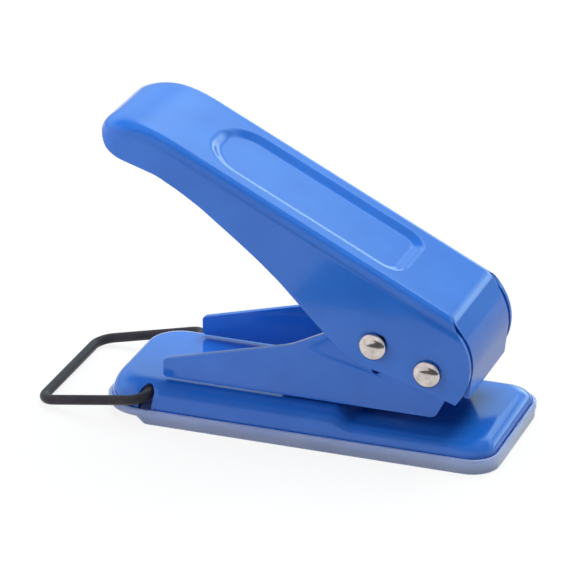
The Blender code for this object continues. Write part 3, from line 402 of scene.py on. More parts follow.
def makeBasePlate():
    # levels of the oblong: each goes in and up on a quarter ellipse from the skirt to the top
    shape = baseShape
    stations = np.concatenate([np.linspace(*shape["rearRunShares"]) * skirtHalfLength,
                               np.linspace(shape["stepRear"], shape["stepRear"] + shape["stepLength"],
                                           shape["stepRows"]),
                               np.linspace(*shape["frontRunShares"]) * skirtHalfLength])
    rearRise, frontRise = shape["rearTop"] - skirtTop, shape["frontTop"] - skirtTop
    degrees = np.concatenate([[0, 0], np.linspace(0, 90, shape["levels"])[1:]])
    halves = []
    for level, angle in enumerate(np.radians(degrees)):
        sweep, rise = 1 - math.cos(angle), math.sin(angle)
        half = oblongHalf(-skirtHalfLength + shape["rearSweep"] * rearRise * sweep,
                          skirtHalfLength - shape["frontSweep"] * frontRise * sweep, skirtHalfWidth,
                          skirtRearCorner + (shape["topRearCorner"] - skirtRearCorner) * sweep,
                          skirtFrontCorner + (shape["topFrontCorner"] - skirtFrontCorner) * sweep, stations)
        height = stepHeight(half[:, 0]) - skirtTop
        z = skirtTop + height * rise if level else np.full(len(half), skirtBottom)
        halves.append(np.stack([half[:, 0], half[:, 1] + shape["sideSweep"] * height * sweep, z], axis=1))
    rings = np.stack([closedLoop(half) for half in halves])
    top = fillAcross(halves[-1], shape["across"])
    plate = newSurface("base_plate_pressed", [(rings, True), (top, False)], closed=False)
    thicken(plate, shape["sheet"])
    bosses = [roundBar("boss", shape["bossRadius"], shape["rearTop"] - shape["sheet"] / 2,
                       shape["rearTop"] + shape["boss"], (x, y, 0)) for x, y in frameRivets]
    cutAway(plate, bosses, "UNION")
    holes = rivetHoles(frameRivets + dieRivets, pivotZ)
    holes.append(roundBar("hole", punchHole, 0, pivotZ, (punchShape["x"], 0, 0)))
    # a keyhole in each side: a round hole for the wire, open downwards through a narrower neck
    hole, wrap = wireShape["radius"] + wireShape["slotGap"], wireShape["slotWrapDeg"]
    neck = hole * wireShape["neckShare"]
    keyhole = np.concatenate([arcPoints(wireShape["x"], wireShape["z"], hole, -wrap, 180 + wrap, count=25),
                              [[wireShape["x"] - neck, skirtBottom - past],
                               [wireShape["x"] + neck, skirtBottom - past]]])
    for side in (-1, 1):
        reach = sorted((side * wireShape["endHalf"] * wireShape["slotReachShare"],
                        side * (skirtHalfWidth + past)))
        holes.append(extruded("slot", keyhole, *reach))
    cutAway(plate, holes)
    roundEdges(plate, shape["edge"], segments=2)
    finishPiece(plate, enamel, "blue_enamel", "base", "base_plate")


def makeTray():
    # one closed skin: up the outside, over the rim and down the inside to the floor
    shape = trayShape
    wall, heel = shape["wall"], shape["heelCorner"]
    nose, tail = shape["frontCorner"], shape["rearCorner"]
    band, rise, step = shape["height"] - shape["band"], shape["bandRise"], shape["step"]
    boxRear = -halfLength + shape["heel"] + shape["heelSlope"]
    boxFront, boxWide = halfLength - step, halfWidth - step
    rings = [
        (boxRear, boxFront, boxWide, heel, nose, 0.0),
        (boxRear - shape["heelSlope"], boxFront, boxWide, heel, nose, band),
        (-halfLength + rise, halfLength - step / 2, halfWidth - step / 2, tail - rise, nose, band),
        (-halfLength, halfLength, halfWidth, tail, nose, band),
        (-halfLength, halfLength, halfWidth, tail, nose, shape["height"]),
        (-halfLength + wall, halfLength - wall, halfWidth - wall, tail - wall, nose - wall, shape["height"]),
        (-halfLength + wall, halfLength - wall, halfWidth - wall, tail - wall, nose - wall, ledgeTop),
        (boxRear + wall - shape["heelSlope"], boxFront - 2 * wall, boxWide - 2 * wall, heel,
         nose - 2 * wall, ledgeTop),
        (boxRear + wall, boxFront - 2 * wall, boxWide - 2 * wall, heel, nose - 2 * wall, shape["floor"]),
    ]
    liftedRing = 3  # the band's lower edge, which stands higher round the rear corners
    stations = np.linspace(*shape["sideRunShares"]) * halfLength
    halves = []
    for level, (rear, front, wide, rearCorner, frontCorner, z) in enumerate(rings):
        half = oblongHalf(rear, front, wide, rearCorner, frontCorner, stations)
        lift = rise * (np.arange(len(half)) < arcCount) * (level == liftedRing)
        halves.append(np.concatenate([half, (z + lift)[:, None]], axis=1))
    loops = np.stack([closedLoop(half) for half in halves])
    underside, floor = (fillAcross(half, shape["across"]) for half in (halves[0], halves[-1]))
    tray = newSurface("chip_tray_moulded", [(loops, True), (underside, False), (floor, False)])
    roundEdges(tray, shape["edge"], segments=2)
    finishPiece(tray, milky, "clear_plastic", "chad_tray", "chad_tray")


frameShape = {"sheet": 0.0015, "halfWidth": 0.0142, "bottom": 0.0102, "tipX": -0.0357, "tipTop": 0.0149,
              "legSlope": 0.262, "legEnd": -0.0030, "lobeTop": 0.0310, "lobe": 0.0075,
              "frontShare": 0.62, "lowShare": 0.78, "topShare": 0.55, "cornerShares": (0.8, 0.5, 0.7, 2.0),
              "toeX": 0.0342, "toeCorner": 0.0022, "tipCorner": 0.0010, "webRear": -0.0055,
              "webFront": 0.0300, "bend": 0.0020, "edge": 0.00022, "rivetX": 0.0015, "rivetPitch": 0.0130}
pivotX, pivotZ, pivotRadius = 0.03315, 0.02298, 0.0020
pivotHole = pivotRadius + boreGap
webTop = frameShape["bottom"] + frameShape["sheet"]
frameRivets = [(frameShape["rivetX"], side * frameShape["rivetPitch"] / 2) for side in (-1, 1)]


def makeFrame():
    # both walls are one outline carried across, with the room between them cut out above the web
    shape = frameShape
    lobe = shape["lobe"]
    legEndZ = shape["tipTop"] + shape["legSlope"] * (shape["legEnd"] - shape["tipX"])
    corners = [(shape["tipX"], shape["bottom"]), (shape["toeX"], shape["bottom"]),
               (pivotX + lobe * shape["frontShare"], pivotZ - lobe * shape["lowShare"]),
               (pivotX + lobe, pivotZ), (pivotX + lobe * shape["topShare"], shape["lobeTop"]),
               (punchShape["x"] - lobe, shape["lobeTop"]), (shape["legEnd"], legEndZ),
               (shape["tipX"], shape["tipTop"])]
    tip = shape["tipCorner"]
    radii = [tip, shape["toeCorner"], 0] + [lobe * share for share in shape["cornerShares"]] + [tip]
    wall = roundedOutline(corners, radii)
    channel = extruded("frame_pressed", wall, -shape["halfWidth"], shape["halfWidth"])
    half, top = shape["halfWidth"] - shape["sheet"], shape["lobeTop"] + past
    bend = 2 * (shape["bend"] - shape["sheet"])
    section = roundedOutline([(-half, webTop), (half, webTop), (half, top), (-half, top)], [bend, bend, 0, 0])
    far = pivotX + 2 * lobe
    cutAway(channel, [extruded("room", section, shape["webRear"], far, "YZ")])
    low = shape["bottom"] - past
    box = np.array([(-half, low), (half, low), (half, top), (-half, top)])
    cutAway(channel, [extruded("open", box, shape["tipX"] - past, shape["webRear"], "YZ")])
    cutAway(channel, [extruded("open", box, shape["webFront"], far, "YZ")])
    wide = shape["halfWidth"] + past
    pinX, pinZ = punchShape["x"], punchShape["pinZ"]
    slot = np.concatenate([arcPoints(pinX, pinZ, pinHole, 0, 180),
                           arcPoints(pinX, pinZ - punchShape["stroke"], pinHole, 180, 360)])
    cutAway(channel, [extruded("slot", slot, -wide, wide),
                      roundBar("bore", pivotHole, -wide, wide, (pivotX, 0, pivotZ), "Y")])
    guideHole = roundBar("hole", guideShape["radius"] + fitGap, 0, webTop + past, (pinX, 0, 0))
    cutAway(channel, [guideHole] + rivetHoles(frameRivets, webTop + past))
    roundEdges(channel, shape["edge"])
    finishPiece(channel, enamel, "blue_enamel", "base", "frame")


# Handle: u runs forward and v up from the pivot, before the tilt
handleShape = {"tiltDeg": 26.6, "swingDeg": 38.0, "sheet": 0.0013, "room": 0.0017, "top": 0.0152,
               "bend": 0.0030, "length": 0.0986, "endCorner": 0.0074, "rollLength": 0.0037,
               "rollDepth": 0.0029, "rollCorner": 0.0102, "rollStartDeg": 18.0, "endDroop": 0.0044,
               "droopLength": 0.0188, "droopPower": 2.2, "centreBack": 0.0040, "noseRadius": 0.0140,
               "tailDeg": 20.0, "tailLength": 0.0067, "centreRise": 0.0002, "noseStart": -0.0125,
               "noseSideGap": 0.0015, "noseNarrowing": 0.0042, "panelFade": 0.0012, "creaseBack": 0.0015,
               "creaseRadius": 0.0055, "recessDepth": 0.0010, "recessHalf": 0.0100,
               "recessMargin": 0.0254, "recessFront": 0.0190, "ramp": 0.0030, "recessCorner": 0.0085,
               "edge": 0.0002, "lowSmoothing": 0.0012, "openCornerDeg": 60}
# how finely the handle is divided; each run across the top is from, to and how many, as shares of its half
handleRows = {"front": 24, "length": 190, "turn": 15, "wall": 16, "bend": 13, "crease": 7, "slope": 8,
              "bow": 22, "tail": 9, "lowSamples": 9, "slotSteps": 7, "slotSides": 24,
              "topRunShares": ((1, 0.86, 5), (0.845, 0.54, 20), (0.5, 0, 10))}
# the side wall's lower edge: places as shares of the length, below zero behind the pivot, and heights as
# shares of the top's
lowEdgeShares = (
    (-1.0000, 0.487), (-0.9858, 0.434), (-0.9695, 0.368), (-0.9543, 0.329), (-0.9177, 0.303),
    (-0.8720, 0.349), (-0.8130, 0.408), (-0.7439, 0.388), (-0.6809, 0.342), (-0.5528, 0.178),
    (-0.4888, 0.086), (-0.4217, -0.033), (-0.3201, -0.263), (-0.2490, -0.414), (-0.2134, -0.480),
    (-0.1778, -0.513), (-0.1524, -0.513), (-0.1260, -0.480), (-0.1016, -0.434), (-0.0224, -0.336),
    (0.0295, -0.270), (0.0722, -0.224), (0.1016, -0.217),
)
handleTilt = math.radians(handleShape["tiltDeg"])
handleSwing = math.radians(handleShape["swingDeg"])
handleInner = frameShape["halfWidth"] + handleShape["room"]
handleHalf = handleInner + handleShape["sheet"]
flatEnd = handleShape["length"] - handleShape["droopLength"]
recessRear = handleShape["length"] - handleShape["recessMargin"]
rollFrom = handleShape["length"] - handleShape["rollLength"] - handleShape["rollCorner"]


def noseTangent():
    # the angle at which the slope under the crease touches the nose's circle
    shape = handleShape
    rise, back = shape["top"] - shape["centreRise"], shape["centreBack"] - shape["creaseBack"]
    return math.atan2(rise, back) - math.acos(shape["noseRadius"] / math.hypot(back, rise))


def noseReach(v):
    # how far forward the nose reaches at a height: a straight slope under the crease, then an arc
    shape = handleShape
    radius, tangent = shape["noseRadius"], noseTangent()
    tangentV = shape["centreRise"] + radius * math.sin(tangent)
    tangentU = -shape["centreBack"] + radius * math.cos(tangent)
    slope = tangentU + (-shape["creaseBack"] - tangentU) * (v - tangentV) / (shape["top"] - tangentV)
    inside = np.clip(radius ** 2 - (v - shape["centreRise"]) ** 2, 0, None)
    return np.where(v > tangentV, slope, -shape["centreBack"] + np.sqrt(inside))


def endDroop(u):
    # how far the top has curved down towards the grip end
    shape = handleShape
    return shape["endDroop"] * (np.clip(-u - flatEnd, 0, None) / shape["droopLength"]) ** shape["droopPower"]


def creaseDrop(u):
    # how far the rounded crease lies under the top's flat: an arc that starts a tangent's length behind
    shape = handleShape
    radius, slope = shape["creaseRadius"], math.pi / 2 - noseTangent()
    begin = -shape["creaseBack"] - radius * math.tan(slope / 2)
    ahead = np.clip(u - begin, 0, radius * math.sin(slope))
    return radius - np.sqrt(radius ** 2 - ahead ** 2)


def lowEdge(u):
    # height of the side wall's lower edge, eased with a running mean
    us, vs = np.array(lowEdgeShares).T
    steps = np.linspace(-1, 1, handleRows["lowSamples"]) * handleShape["lowSmoothing"]
    near = (np.asarray(u)[..., None] + steps) / handleShape["length"]
    return handleShape["top"] * np.interp(near, us, vs).mean(-1)


def recessDrop(u, y):
    # depth of the pressed recess: a smooth ramp across the distance to a rounded oblong
    shape = handleShape
    along = np.maximum(-u - recessRear, u + shape["recessFront"])
    across = np.abs(y) - shape["recessHalf"]
    corner = np.where(u < -(recessRear + shape["recessFront"]) / 2, shape["recessCorner"],
                      shape["recessCorner"] / 2)
    dx, dy = np.maximum(along + corner, 0), np.maximum(across + corner, 0)
    distance = np.where(np.minimum(along, across) + corner < 0, np.maximum(along, across),
                        np.hypot(dx, dy) - corner)
    share = np.clip(0.5 - distance / shape["ramp"], 0, 1)
    return -shape["recessDepth"] * share * share * (3 - 2 * share)


def tiltHandle(grid, tilt):
    # from the handle's own directions to the model's
    u, y, v = grid[..., 0], grid[..., 1], grid[..., 2]
    return np.stack([pivotX + u * math.cos(tilt) + v * math.sin(tilt), y,
                     pivotZ - u * math.sin(tilt) + v * math.cos(tilt)], axis=-1)


def toHandle(x, z, tilt):
    # the turn of tiltHandle undone, for one place
    dx, dz = x - pivotX, z - pivotZ
    return dx * math.cos(tilt) - dz * math.sin(tilt), dx * math.sin(tilt) + dz * math.cos(tilt)


def hullOutline(points):
    # the convex outline round a set of points in a plane
    order = sorted(map(tuple, points))
    halves = []
    for run in (order, order[::-1]):
        chain = []
        for place in run:
            while len(chain) > 1 and ((chain[-1][0] - chain[-2][0]) * (place[1] - chain[-2][1])
                                      - (chain[-1][1] - chain[-2][1]) * (place[0] - chain[-2][0])) <= 0:
                chain.pop()
            chain.append(place)
        halves += chain[:-1]
    return np.array(halves)


def pinSlot():
    # the outline round all that the punch pin sweeps in the handle's wall on its way down
    sides = handleRows["slotSides"]
    way = [toHandle(punchShape["x"], punchShape["pinZ"] - punchShape["stroke"] * step,
                    handleTilt - handleSwing * step) for step in np.linspace(0, 1, handleRows["slotSteps"])]
    circles = [arcPoints(u, v, pinHole, 0, 360 - 360 / sides, sides) for u, v in way]
    return hullOutline(np.concatenate(circles))


def noseProfile():
    # (u, v) down the nose: the rounded crease, the straight slope, the bow's arc and the straight tail
    shape, rows = handleShape, handleRows
    top, radius = shape["top"], shape["noseRadius"]
    tangent, tail = noseTangent(), math.radians(shape["tailDeg"])
    tangentV = shape["centreRise"] + radius * math.sin(tangent)
    slopeAngle = math.pi / 2 - tangent
    rounded = -shape["creaseBack"] + shape["creaseRadius"] * math.tan(slopeAngle / 2) * np.linspace(
        0, math.cos(slopeAngle), rows["crease"])[1:]
    slopeV = np.linspace(top - float(creaseDrop(rounded[-1])), tangentV, rows["slope"])[1:-1]
    bowed = arcPoints(-shape["centreBack"], shape["centreRise"], radius, math.degrees(tangent),
                      shape["tailDeg"], rows["bow"])
    run = np.linspace(0, shape["tailLength"], rows["tail"])[1:, None]
    straight = bowed[-1] + run * np.array([math.sin(tail), -math.cos(tail)])
    return np.concatenate([np.stack([rounded, top - creaseDrop(rounded)], axis=1),
                           np.stack([noseReach(slopeV), slopeV], axis=1), bowed, straight])


def nosePanel(crease):
    # the crease's row carried down the nose's profile: its bent ends fade out with the distance, and the
    # panel narrows below the crease and leaves a gap to each side wall
    shape, profile = handleShape, noseProfile()
    middle = crease[len(crease) // 2, [0, 2]]
    fade = np.exp(-np.linalg.norm(profile - middle, axis=1) / shape["panelFade"])
    narrow = (handleInner - shape["noseSideGap"]) / crease[:, 1].max() - 1
    width = 1 + narrow * np.clip((shape["top"] - profile[:, 1:]) / shape["noseNarrowing"], 0, 1)
    panel = np.stack([np.broadcast_to(profile[:, :1], (len(profile), len(crease))),
                      width * crease[:, 1],
                      profile[:, 1:] + (crease[:, 2] - crease[:, 2].max()) * fade[:, None]], axis=-1)
    return np.concatenate([crease[None], panel])


def makeHandle():
    # rows run along the handle; each climbs the near wall, the bend and the top, and its mirror follows
    shape, rows = handleShape, handleRows
    top, bend, length, corner = shape["top"], shape["bend"], shape["length"], shape["endCorner"]
    start, frontRows, quarter = shape["noseStart"], rows["front"], math.pi / 2
    turn = np.radians(np.linspace(0, 90, rows["turn"])[1:])
    flat = np.linspace(start, -length + corner, rows["length"])
    u0 = np.concatenate([np.full(frontRows, start), flat, -length + corner - corner * np.sin(turn)])
    half = np.concatenate([np.full(len(u0) - len(turn), handleHalf),
                           handleHalf - corner + corner * np.cos(turn)])
    swing = np.concatenate([np.zeros(len(u0) - len(turn)), turn])
    front = np.zeros(len(u0))
    # the front rows stand closer together towards the crease
    front[:frontRows] = 1 - np.linspace(0, 1, frontRows + 1)[:-1] ** 2
    front = front[:, None]
    roof = (top - endDroop(u0))[:, None]
    depth = (bend + (shape["rollDepth"] - bend) * np.sin(swing))[:, None]
    # round the grip end the top's own edge turns earlier and wider than the wall
    begin = math.radians(shape["rollStartDeg"])
    lead = (-u0 - rollFrom) / (length - corner - rollFrom)
    rollTurn = np.where(swing > 0, begin + (quarter - begin) * swing / quarter, begin * np.clip(lead, 0, 1))
    edgeU = np.where(rollTurn > 0, -rollFrom - shape["rollCorner"] * np.sin(rollTurn), u0)[:, None]
    edgeHalf = (handleHalf - bend - shape["rollCorner"] * (1 - np.cos(rollTurn)))[:, None]
    low = lowEdge(u0)[:, None]
    # the side wall, leaning on to the nose's outline in the front rows
    climb = np.linspace(0, 1, rows["wall"], endpoint=False)[None]
    wallV = low + (roof - depth - low) * climb
    leanLow = lowEdge(start + (noseReach(low) - start) * front)
    wallV = np.where(front > 0, leanLow + (roof - bend - leanLow) * climb, wallV)
    wallU = np.where(front > 0, start + (noseReach(wallV) - start) * front, u0[:, None])
    wallY = np.broadcast_to(half[:, None], wallV.shape)
    # the bend between wall and top
    angle = np.radians(np.linspace(0, 90, rows["bend"]))[None]
    inset = 1 - np.cos(angle)
    bendU = u0[:, None] + (edgeU - u0[:, None]) * inset
    bendY = half[:, None] + (edgeHalf - half[:, None]) * inset
    bendV = top - endDroop(bendU) - depth + depth * np.sin(angle)
    cornerOpen = angle > math.radians(shape["openCornerDeg"])
    reach = np.where(cornerOpen, -shape["creaseBack"], noseReach(bendV))
    bendU = np.where(front > 0, start + (reach - start) * front, bendU)
    # the top, closer together over the recess's ramps
    shares = np.concatenate([np.linspace(*run) for run in rows["topRunShares"]])[1:]
    topU = np.repeat(bendU[:, -1:], len(shares), axis=1)
    topY = bendY[:, -1:] * shares[None]
    topV = np.repeat(bendV[:, -1:], len(shares), axis=1)
    near = np.stack([np.concatenate([wallU, bendU, topU], axis=1),
                     np.concatenate([-wallY, -bendY, -topY], axis=1),
                     np.concatenate([wallV, bendV, topV], axis=1)], axis=-1)
    whole = np.concatenate([near, near[:, -2::-1] * np.array([1, -1, 1])], axis=1)
    pressed = whole.copy()
    firstTop = rows["wall"] + rows["bend"] - 1
    inner = slice(firstTop, whole.shape[1] - firstTop)
    pressed[:, inner, 2] += recessDrop(whole[:, inner, 0], whole[:, inner, 1])
    # the end wall, across the last row
    edge = near[-1, :firstTop + 1]
    across = np.concatenate([[1.0], shares, -shares[-2::-1], [-1.0]])
    endWall = np.stack([np.repeat(edge[:, :1], len(across), axis=1),
                        edge[:, 1:2] * across,
                        np.repeat(edge[:, 2:], len(across), axis=1)], axis=-1)
    # the nose panel goes on from the front row, past the open corner of the bend
    firstPanel = rows["wall"] + int(np.sum(~cornerOpen))
    topped = slice(firstPanel, pressed.shape[1] - firstPanel)
    pressed[:, topped, 2] -= creaseDrop(pressed[:, topped, 0])
    panel = nosePanel(pressed[0, topped])
    handle = newSurface("handle_pressed", [(pressed, False), (endWall, False), (panel, False)], closed=False)
    thicken(handle, shape["sheet"])
    wide = handleHalf + past
    cutAway(handle, [roundBar("bore", pivotHole, -wide, wide, (0, 0, 0), "Y"),
                     extruded("slot", pinSlot(), -wide, wide)])
    roundEdges(handle, shape["edge"])
    places = np.empty(len(handle.data.vertices) * 3)
    handle.data.vertices.foreach_get("co", places)
    handle.data.vertices.foreach_set("co", tiltHandle(places.reshape(-1, 3), handleTilt).ravel())
    finishPiece(handle, enamel, "blue_enamel", "handle", "handle")


wireShape = {"radius": 0.00125, "x": -0.0383, "z": 0.0069, "reach": 0.0288, "restGap": 0.0001,
             "sideRoom": 0.0018, "taper": 0.0028, "play": 0.0002, "endHalf": 0.0155,
             "bendFront": 0.0034, "bendRear": 0.0045, "bendPoints": 14, "runPoints": 60,
             "slotGap": 0.00065, "slotWrapDeg": 14, "neckShare": 0.74, "slotReachShare": 0.85}


def makeWire():
    # a round wire bent into a loop, in a plane that droops behind its two slots
    shape = wireShape
    front = skirtHalfWidth + shape["sideRoom"]
    rear = front - shape["taper"]
    half = roundedOutline([(0, shape["endHalf"]), (0, front), (shape["reach"], rear), (shape["reach"], 0)],
                          [0, shape["bendFront"], shape["bendRear"], 0], shape["bendPoints"])
    # more points on the straight runs, so that the tube's frames stay even
    steps = np.linalg.norm(np.diff(half, axis=0), axis=1)
    along = np.concatenate([[0], np.cumsum(steps)])
    places = np.unique(np.concatenate([along, np.linspace(0, along[-1], shape["runPoints"])]))
    half = np.stack([np.interp(places, along, half[:, 0]), np.interp(places, along, half[:, 1])], axis=1)
    droop = math.asin((shape["z"] - shape["radius"] - shape["restGap"]) / shape["reach"])
    near = np.stack([shape["x"] - half[:, 0] * math.cos(droop), -half[:, 1],
                     shape["z"] - half[:, 0] * math.sin(droop)], axis=1)
    path = np.concatenate([near[:-1], (near * np.array([1, -1, 1]))[::-1]])
    path[:, 1] -= shape["play"]
    # the round ends stay within the wire's length
    path[0, 1] -= shape["radius"]
    path[-1, 1] += shape["radius"]
    loop = tubeAlong("lock_wire_bent", path, shape["radius"], sides=24)
    finishPiece(loop, black, "black_wire", "lock_wire", "lock_wire", smoothDeg=60)


# Rings, pins and the rest of the small parts
ringShape = {"sleeveWall": 0.0010, "washerRadius": 0.0042, "pinWasherShare": 0.8, "edge": 0.0002,
             "edgeShare": 0.2}


def softened(profile, size):
    # small flats on a ring's four corners, as a turned part has
    (inner, low), (outer, _), (_, high), _ = profile
    return [(inner, low + size), (inner + size, low), (outer - size, low), (outer, low + size),
            (outer, high - size), (outer - size, high), (inner + size, high), (inner, high - size)]


def makeRing(name, node, inner, outer, low, high, centre, axis="Y", body="base", material=zinc,
             slot="zinc_plate"):
    # a rectangle with softened corners carried round an axis
    size = min(ringShape["edge"], ringShape["edgeShare"] * min(high - low, outer - inner))
    section = softened([(inner, low), (outer, low), (outer, high), (inner, high)], size)
    finishPiece(turned(name, section, centre, axis), material, slot, body, node)


headShape = {"radius": 0.0034, "height": 0.0015, "rim": 0.0004, "lip": 0.00015, "domePoints": 14}


def makePin(name, node, x, z, radius, body):
    # a shank with a domed, peened head outside each handle wall: a short rim, then a quarter ellipse
    shape = headShape
    seat = handleHalf + fitGap
    angles = np.radians(np.linspace(0, 90, shape["domePoints"]))
    lip = shape["lip"]
    dome = [(shape["radius"] * math.cos(a), seat + shape["rim"]
             + (shape["height"] - shape["rim"]) * math.sin(a)) for a in angles[:-1]]
    far = [(radius, seat), (shape["radius"] - lip, seat), (shape["radius"], seat + lip)] + dome
    far.append((0, seat + shape["height"]))
    profile = [(r, -h) for r, h in far[::-1]] + far
    pin = turned(name, profile, (x, 0, z), "Y", sides=72)
    finishPiece(pin, nickel, "nickel_plate", body, node, smoothDeg=50)


punchShape = {"x": 0.0195, "radius": 0.0030, "tip": 0.0105, "top": 0.0310, "pinZ": 0.0281,
              "stroke": 0.0072, "pinRadius": 0.0012, "notch": 0.0009}
pinHole = punchShape["pinRadius"] + boreGap
punchHole = punchShape["radius"] + boreGap


def makePunch():
    # a ground round bar with a V across its tip
    shape = punchShape
    size = shape["notch"] / 4
    bar = turned("punch_ground", [(0, shape["tip"]), (shape["radius"], shape["tip"]),
                                  (shape["radius"], shape["top"] - size),
                                  (shape["radius"] - size, shape["top"]), (0, shape["top"])],
                 (shape["x"], 0, 0))
    wide = 2 * shape["radius"]
    notch = np.array([(shape["x"] - wide, shape["tip"] - shape["notch"]),
                      (shape["x"] + wide, shape["tip"] - shape["notch"]),
                      (shape["x"], shape["tip"] + shape["notch"])])
    cutAway(bar, [roundBar("cross", pinHole, -wide, wide, (shape["x"], 0, shape["pinZ"]), "Y")])
    cutAway(bar, [extruded("notch", notch, -wide, wide)])
    finishPiece(bar, steel, "hardened_steel", "punch", "punch")


springShape = {"wire": 0.00035, "radius": 0.0047, "turns": 4.5, "seat": 0.0008, "endShare": 0.045,
               "points": 200}


def makeSpring():
    # a helix that climbs by its turn less a sine of it, so that the pitch eases off at both ends
    shape = springShape
    low = webTop + fitGap + shape["wire"]
    seatBottom = punchShape["pinZ"] - pinHole - ringShape["sleeveWall"] - fitGap - shape["seat"]
    high = seatBottom - fitGap - shape["wire"]
    shares = np.linspace(0, 1, shape["points"])
    angles = 2 * np.pi * shape["turns"] * shares
    climb = shares - shape["endShare"] * np.sin(2 * np.pi * shares)
    path = np.stack([punchShape["x"] + shape["radius"] * np.cos(angles), shape["radius"] * np.sin(angles),
                     low + (high - low) * climb], axis=1)
    coil = tubeAlong("return_spring_coiled", path, shape["wire"], sides=12, capRings=3)
    finishPiece(coil, zinc, "zinc_plate", "base", "return_spring", smoothDeg=60)
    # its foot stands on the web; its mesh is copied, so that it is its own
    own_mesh(coil)


dieShape = {"length": 0.0200, "width": 0.0220, "thickness": 0.0022, "corner": 0.0015, "edge": 0.0001,
            "rivetMargin": 0.0035, "rivetPitch": 0.0066}
dieRivets = [(punchShape["x"] + dieShape["length"] / 2 - dieShape["rivetMargin"],
              side * dieShape["rivetPitch"] / 2) for side in (-1, 1)]


def makeDie():
    # a hardened plate with the die hole and two rivet holes
    shape = dieShape
    x, dieTop = punchShape["x"], baseShape["frontTop"] - baseShape["sheet"] - fitGap
    long, wide = shape["length"] / 2, shape["width"] / 2
    outline = roundedOutline([(x - long, -wide), (x + long, -wide), (x + long, wide), (x - long, wide)],
                             [shape["corner"]] * 4)
    plate = extruded("die_plate_ground", outline, dieTop - shape["thickness"], dieTop, "XY")
    cutAway(plate, [roundBar("bore", punchHole, 0, pivotZ, (x, 0, 0))] + rivetHoles(dieRivets, pivotZ))
    roundEdges(plate, shape["edge"], segments=2)
    finishPiece(plate, steel, "hardened_steel", "base", "die_plate")


rivetShape = {"radius": 0.0015, "head": 0.0027, "height": 0.0010, "crownPower": 0.6, "crownPoints": 8}


def rivetHoles(places, top):
    # a cutter for each rivet's shank, from the floor up to a height
    return [roundBar("hole", rivetShape["radius"] + boreGap, 0, top, (x, y, 0), sides=32) for x, y in places]


def makeRivet(name, node, x, y, low, high, flush):
    # a shank with a low round head under it, and one on top unless that end is flush; a head's radius
    # goes with a power of the cosine of its angle, its height with the sine
    shape = rivetShape
    angles = np.radians(np.linspace(0, 90, shape["crownPoints"]))
    crown = [(shape["head"] * math.cos(a) ** shape["crownPower"], shape["height"] * math.sin(a))
             for a in angles[:-1]] + [(0, shape["height"])]
    profile = [(r, low - fitGap - h) for r, h in crown[::-1]] + [(shape["radius"], low - fitGap)]
    if flush:
        profile += [(shape["radius"], high), (0, high)]
    else:
        profile += [(shape["radius"], high + fitGap)] + [(r, high + fitGap + h) for r, h in crown]
    finishPiece(turned(name, profile, (x, y, 0)), zinc, "zinc_plate", "base", node)


guideShape = {"radius": 0.0040, "rise": 0.0025}


def makeInnerParts():
    # sleeves and washers fill the room inside and outside the frame's walls, and rivets hold what they join
    inside, wall = frameShape["halfWidth"] - frameShape["sheet"] - fitGap, ringShape["sleeveWall"]
    washer, clear = ringShape["washerRadius"], punchShape["radius"] + fitGap
    washerIn, washerOut = frameShape["halfWidth"] + fitGap, handleInner - fitGap
    pivot, pin = (pivotX, 0, pivotZ), (punchShape["x"], 0, punchShape["pinZ"])
    makeRing("pivot_sleeve_turned", "pivot_sleeve", pivotHole, pivotHole + wall, -inside, inside, pivot)
    for word, side in (("near", -1), ("far", 1)):
        a, b = sorted((side * washerIn, side * washerOut))
        makeRing(f"pivot_washer_{word}_punched", f"pivot_washer_{word}", pivotHole, washer, a, b, pivot)
        makeRing(f"punch_pin_washer_{word}_punched", f"punch_pin_washer_{word}", pinHole,
                 washer * ringShape["pinWasherShare"], a, b, pin, body="punch")
        a, b = sorted((side * clear, side * inside))
        makeRing(f"punch_pin_sleeve_{word}_turned", f"punch_pin_sleeve_{word}", pinHole, pinHole + wall,
                 a, b, pin, body="punch")
    seatTop = punchShape["pinZ"] - pinHole - wall - fitGap
    upright = (punchShape["x"], 0, 0)
    makeRing("spring_washer_punched", "spring_washer", punchHole,
             springShape["radius"] + 2 * springShape["wire"], seatTop - springShape["seat"], seatTop,
             upright, "Z", "punch")
    makeRing("punch_guide_turned", "punch_guide", punchHole, guideShape["radius"], frameShape["bottom"],
             webTop + guideShape["rise"], upright, "Z", material=steel, slot="hardened_steel")
    plateUnder = baseShape["rearTop"] - baseShape["sheet"]
    dieUnder = baseShape["frontTop"] - baseShape["sheet"] - fitGap - dieShape["thickness"]
    for k, (x, y) in enumerate(frameRivets, 1):
        makeRivet(f"frame_rivet_{k}_headed", f"frame_rivet_{k}", x, y, plateUnder, webTop, False)
    for k, (x, y) in enumerate(dieRivets, 1):
        makeRivet(f"die_rivet_{k}_headed", f"die_rivet_{k}", x, y, dieUnder, baseShape["frontTop"], True)


makeTray()
makeBasePlate()
makeFrame()
makeHandle()
makeWire()
makePin("pivot_pin_peened", "pivot_pin", pivotX, pivotZ, pivotRadius, "base")
makePin("punch_pin_peened", "punch_pin", punchShape["x"], punchShape["pinZ"], punchShape["pinRadius"],
        "punch")
makePunch()
makeSpring()
makeDie()
makeInnerParts()
print("pieces done")


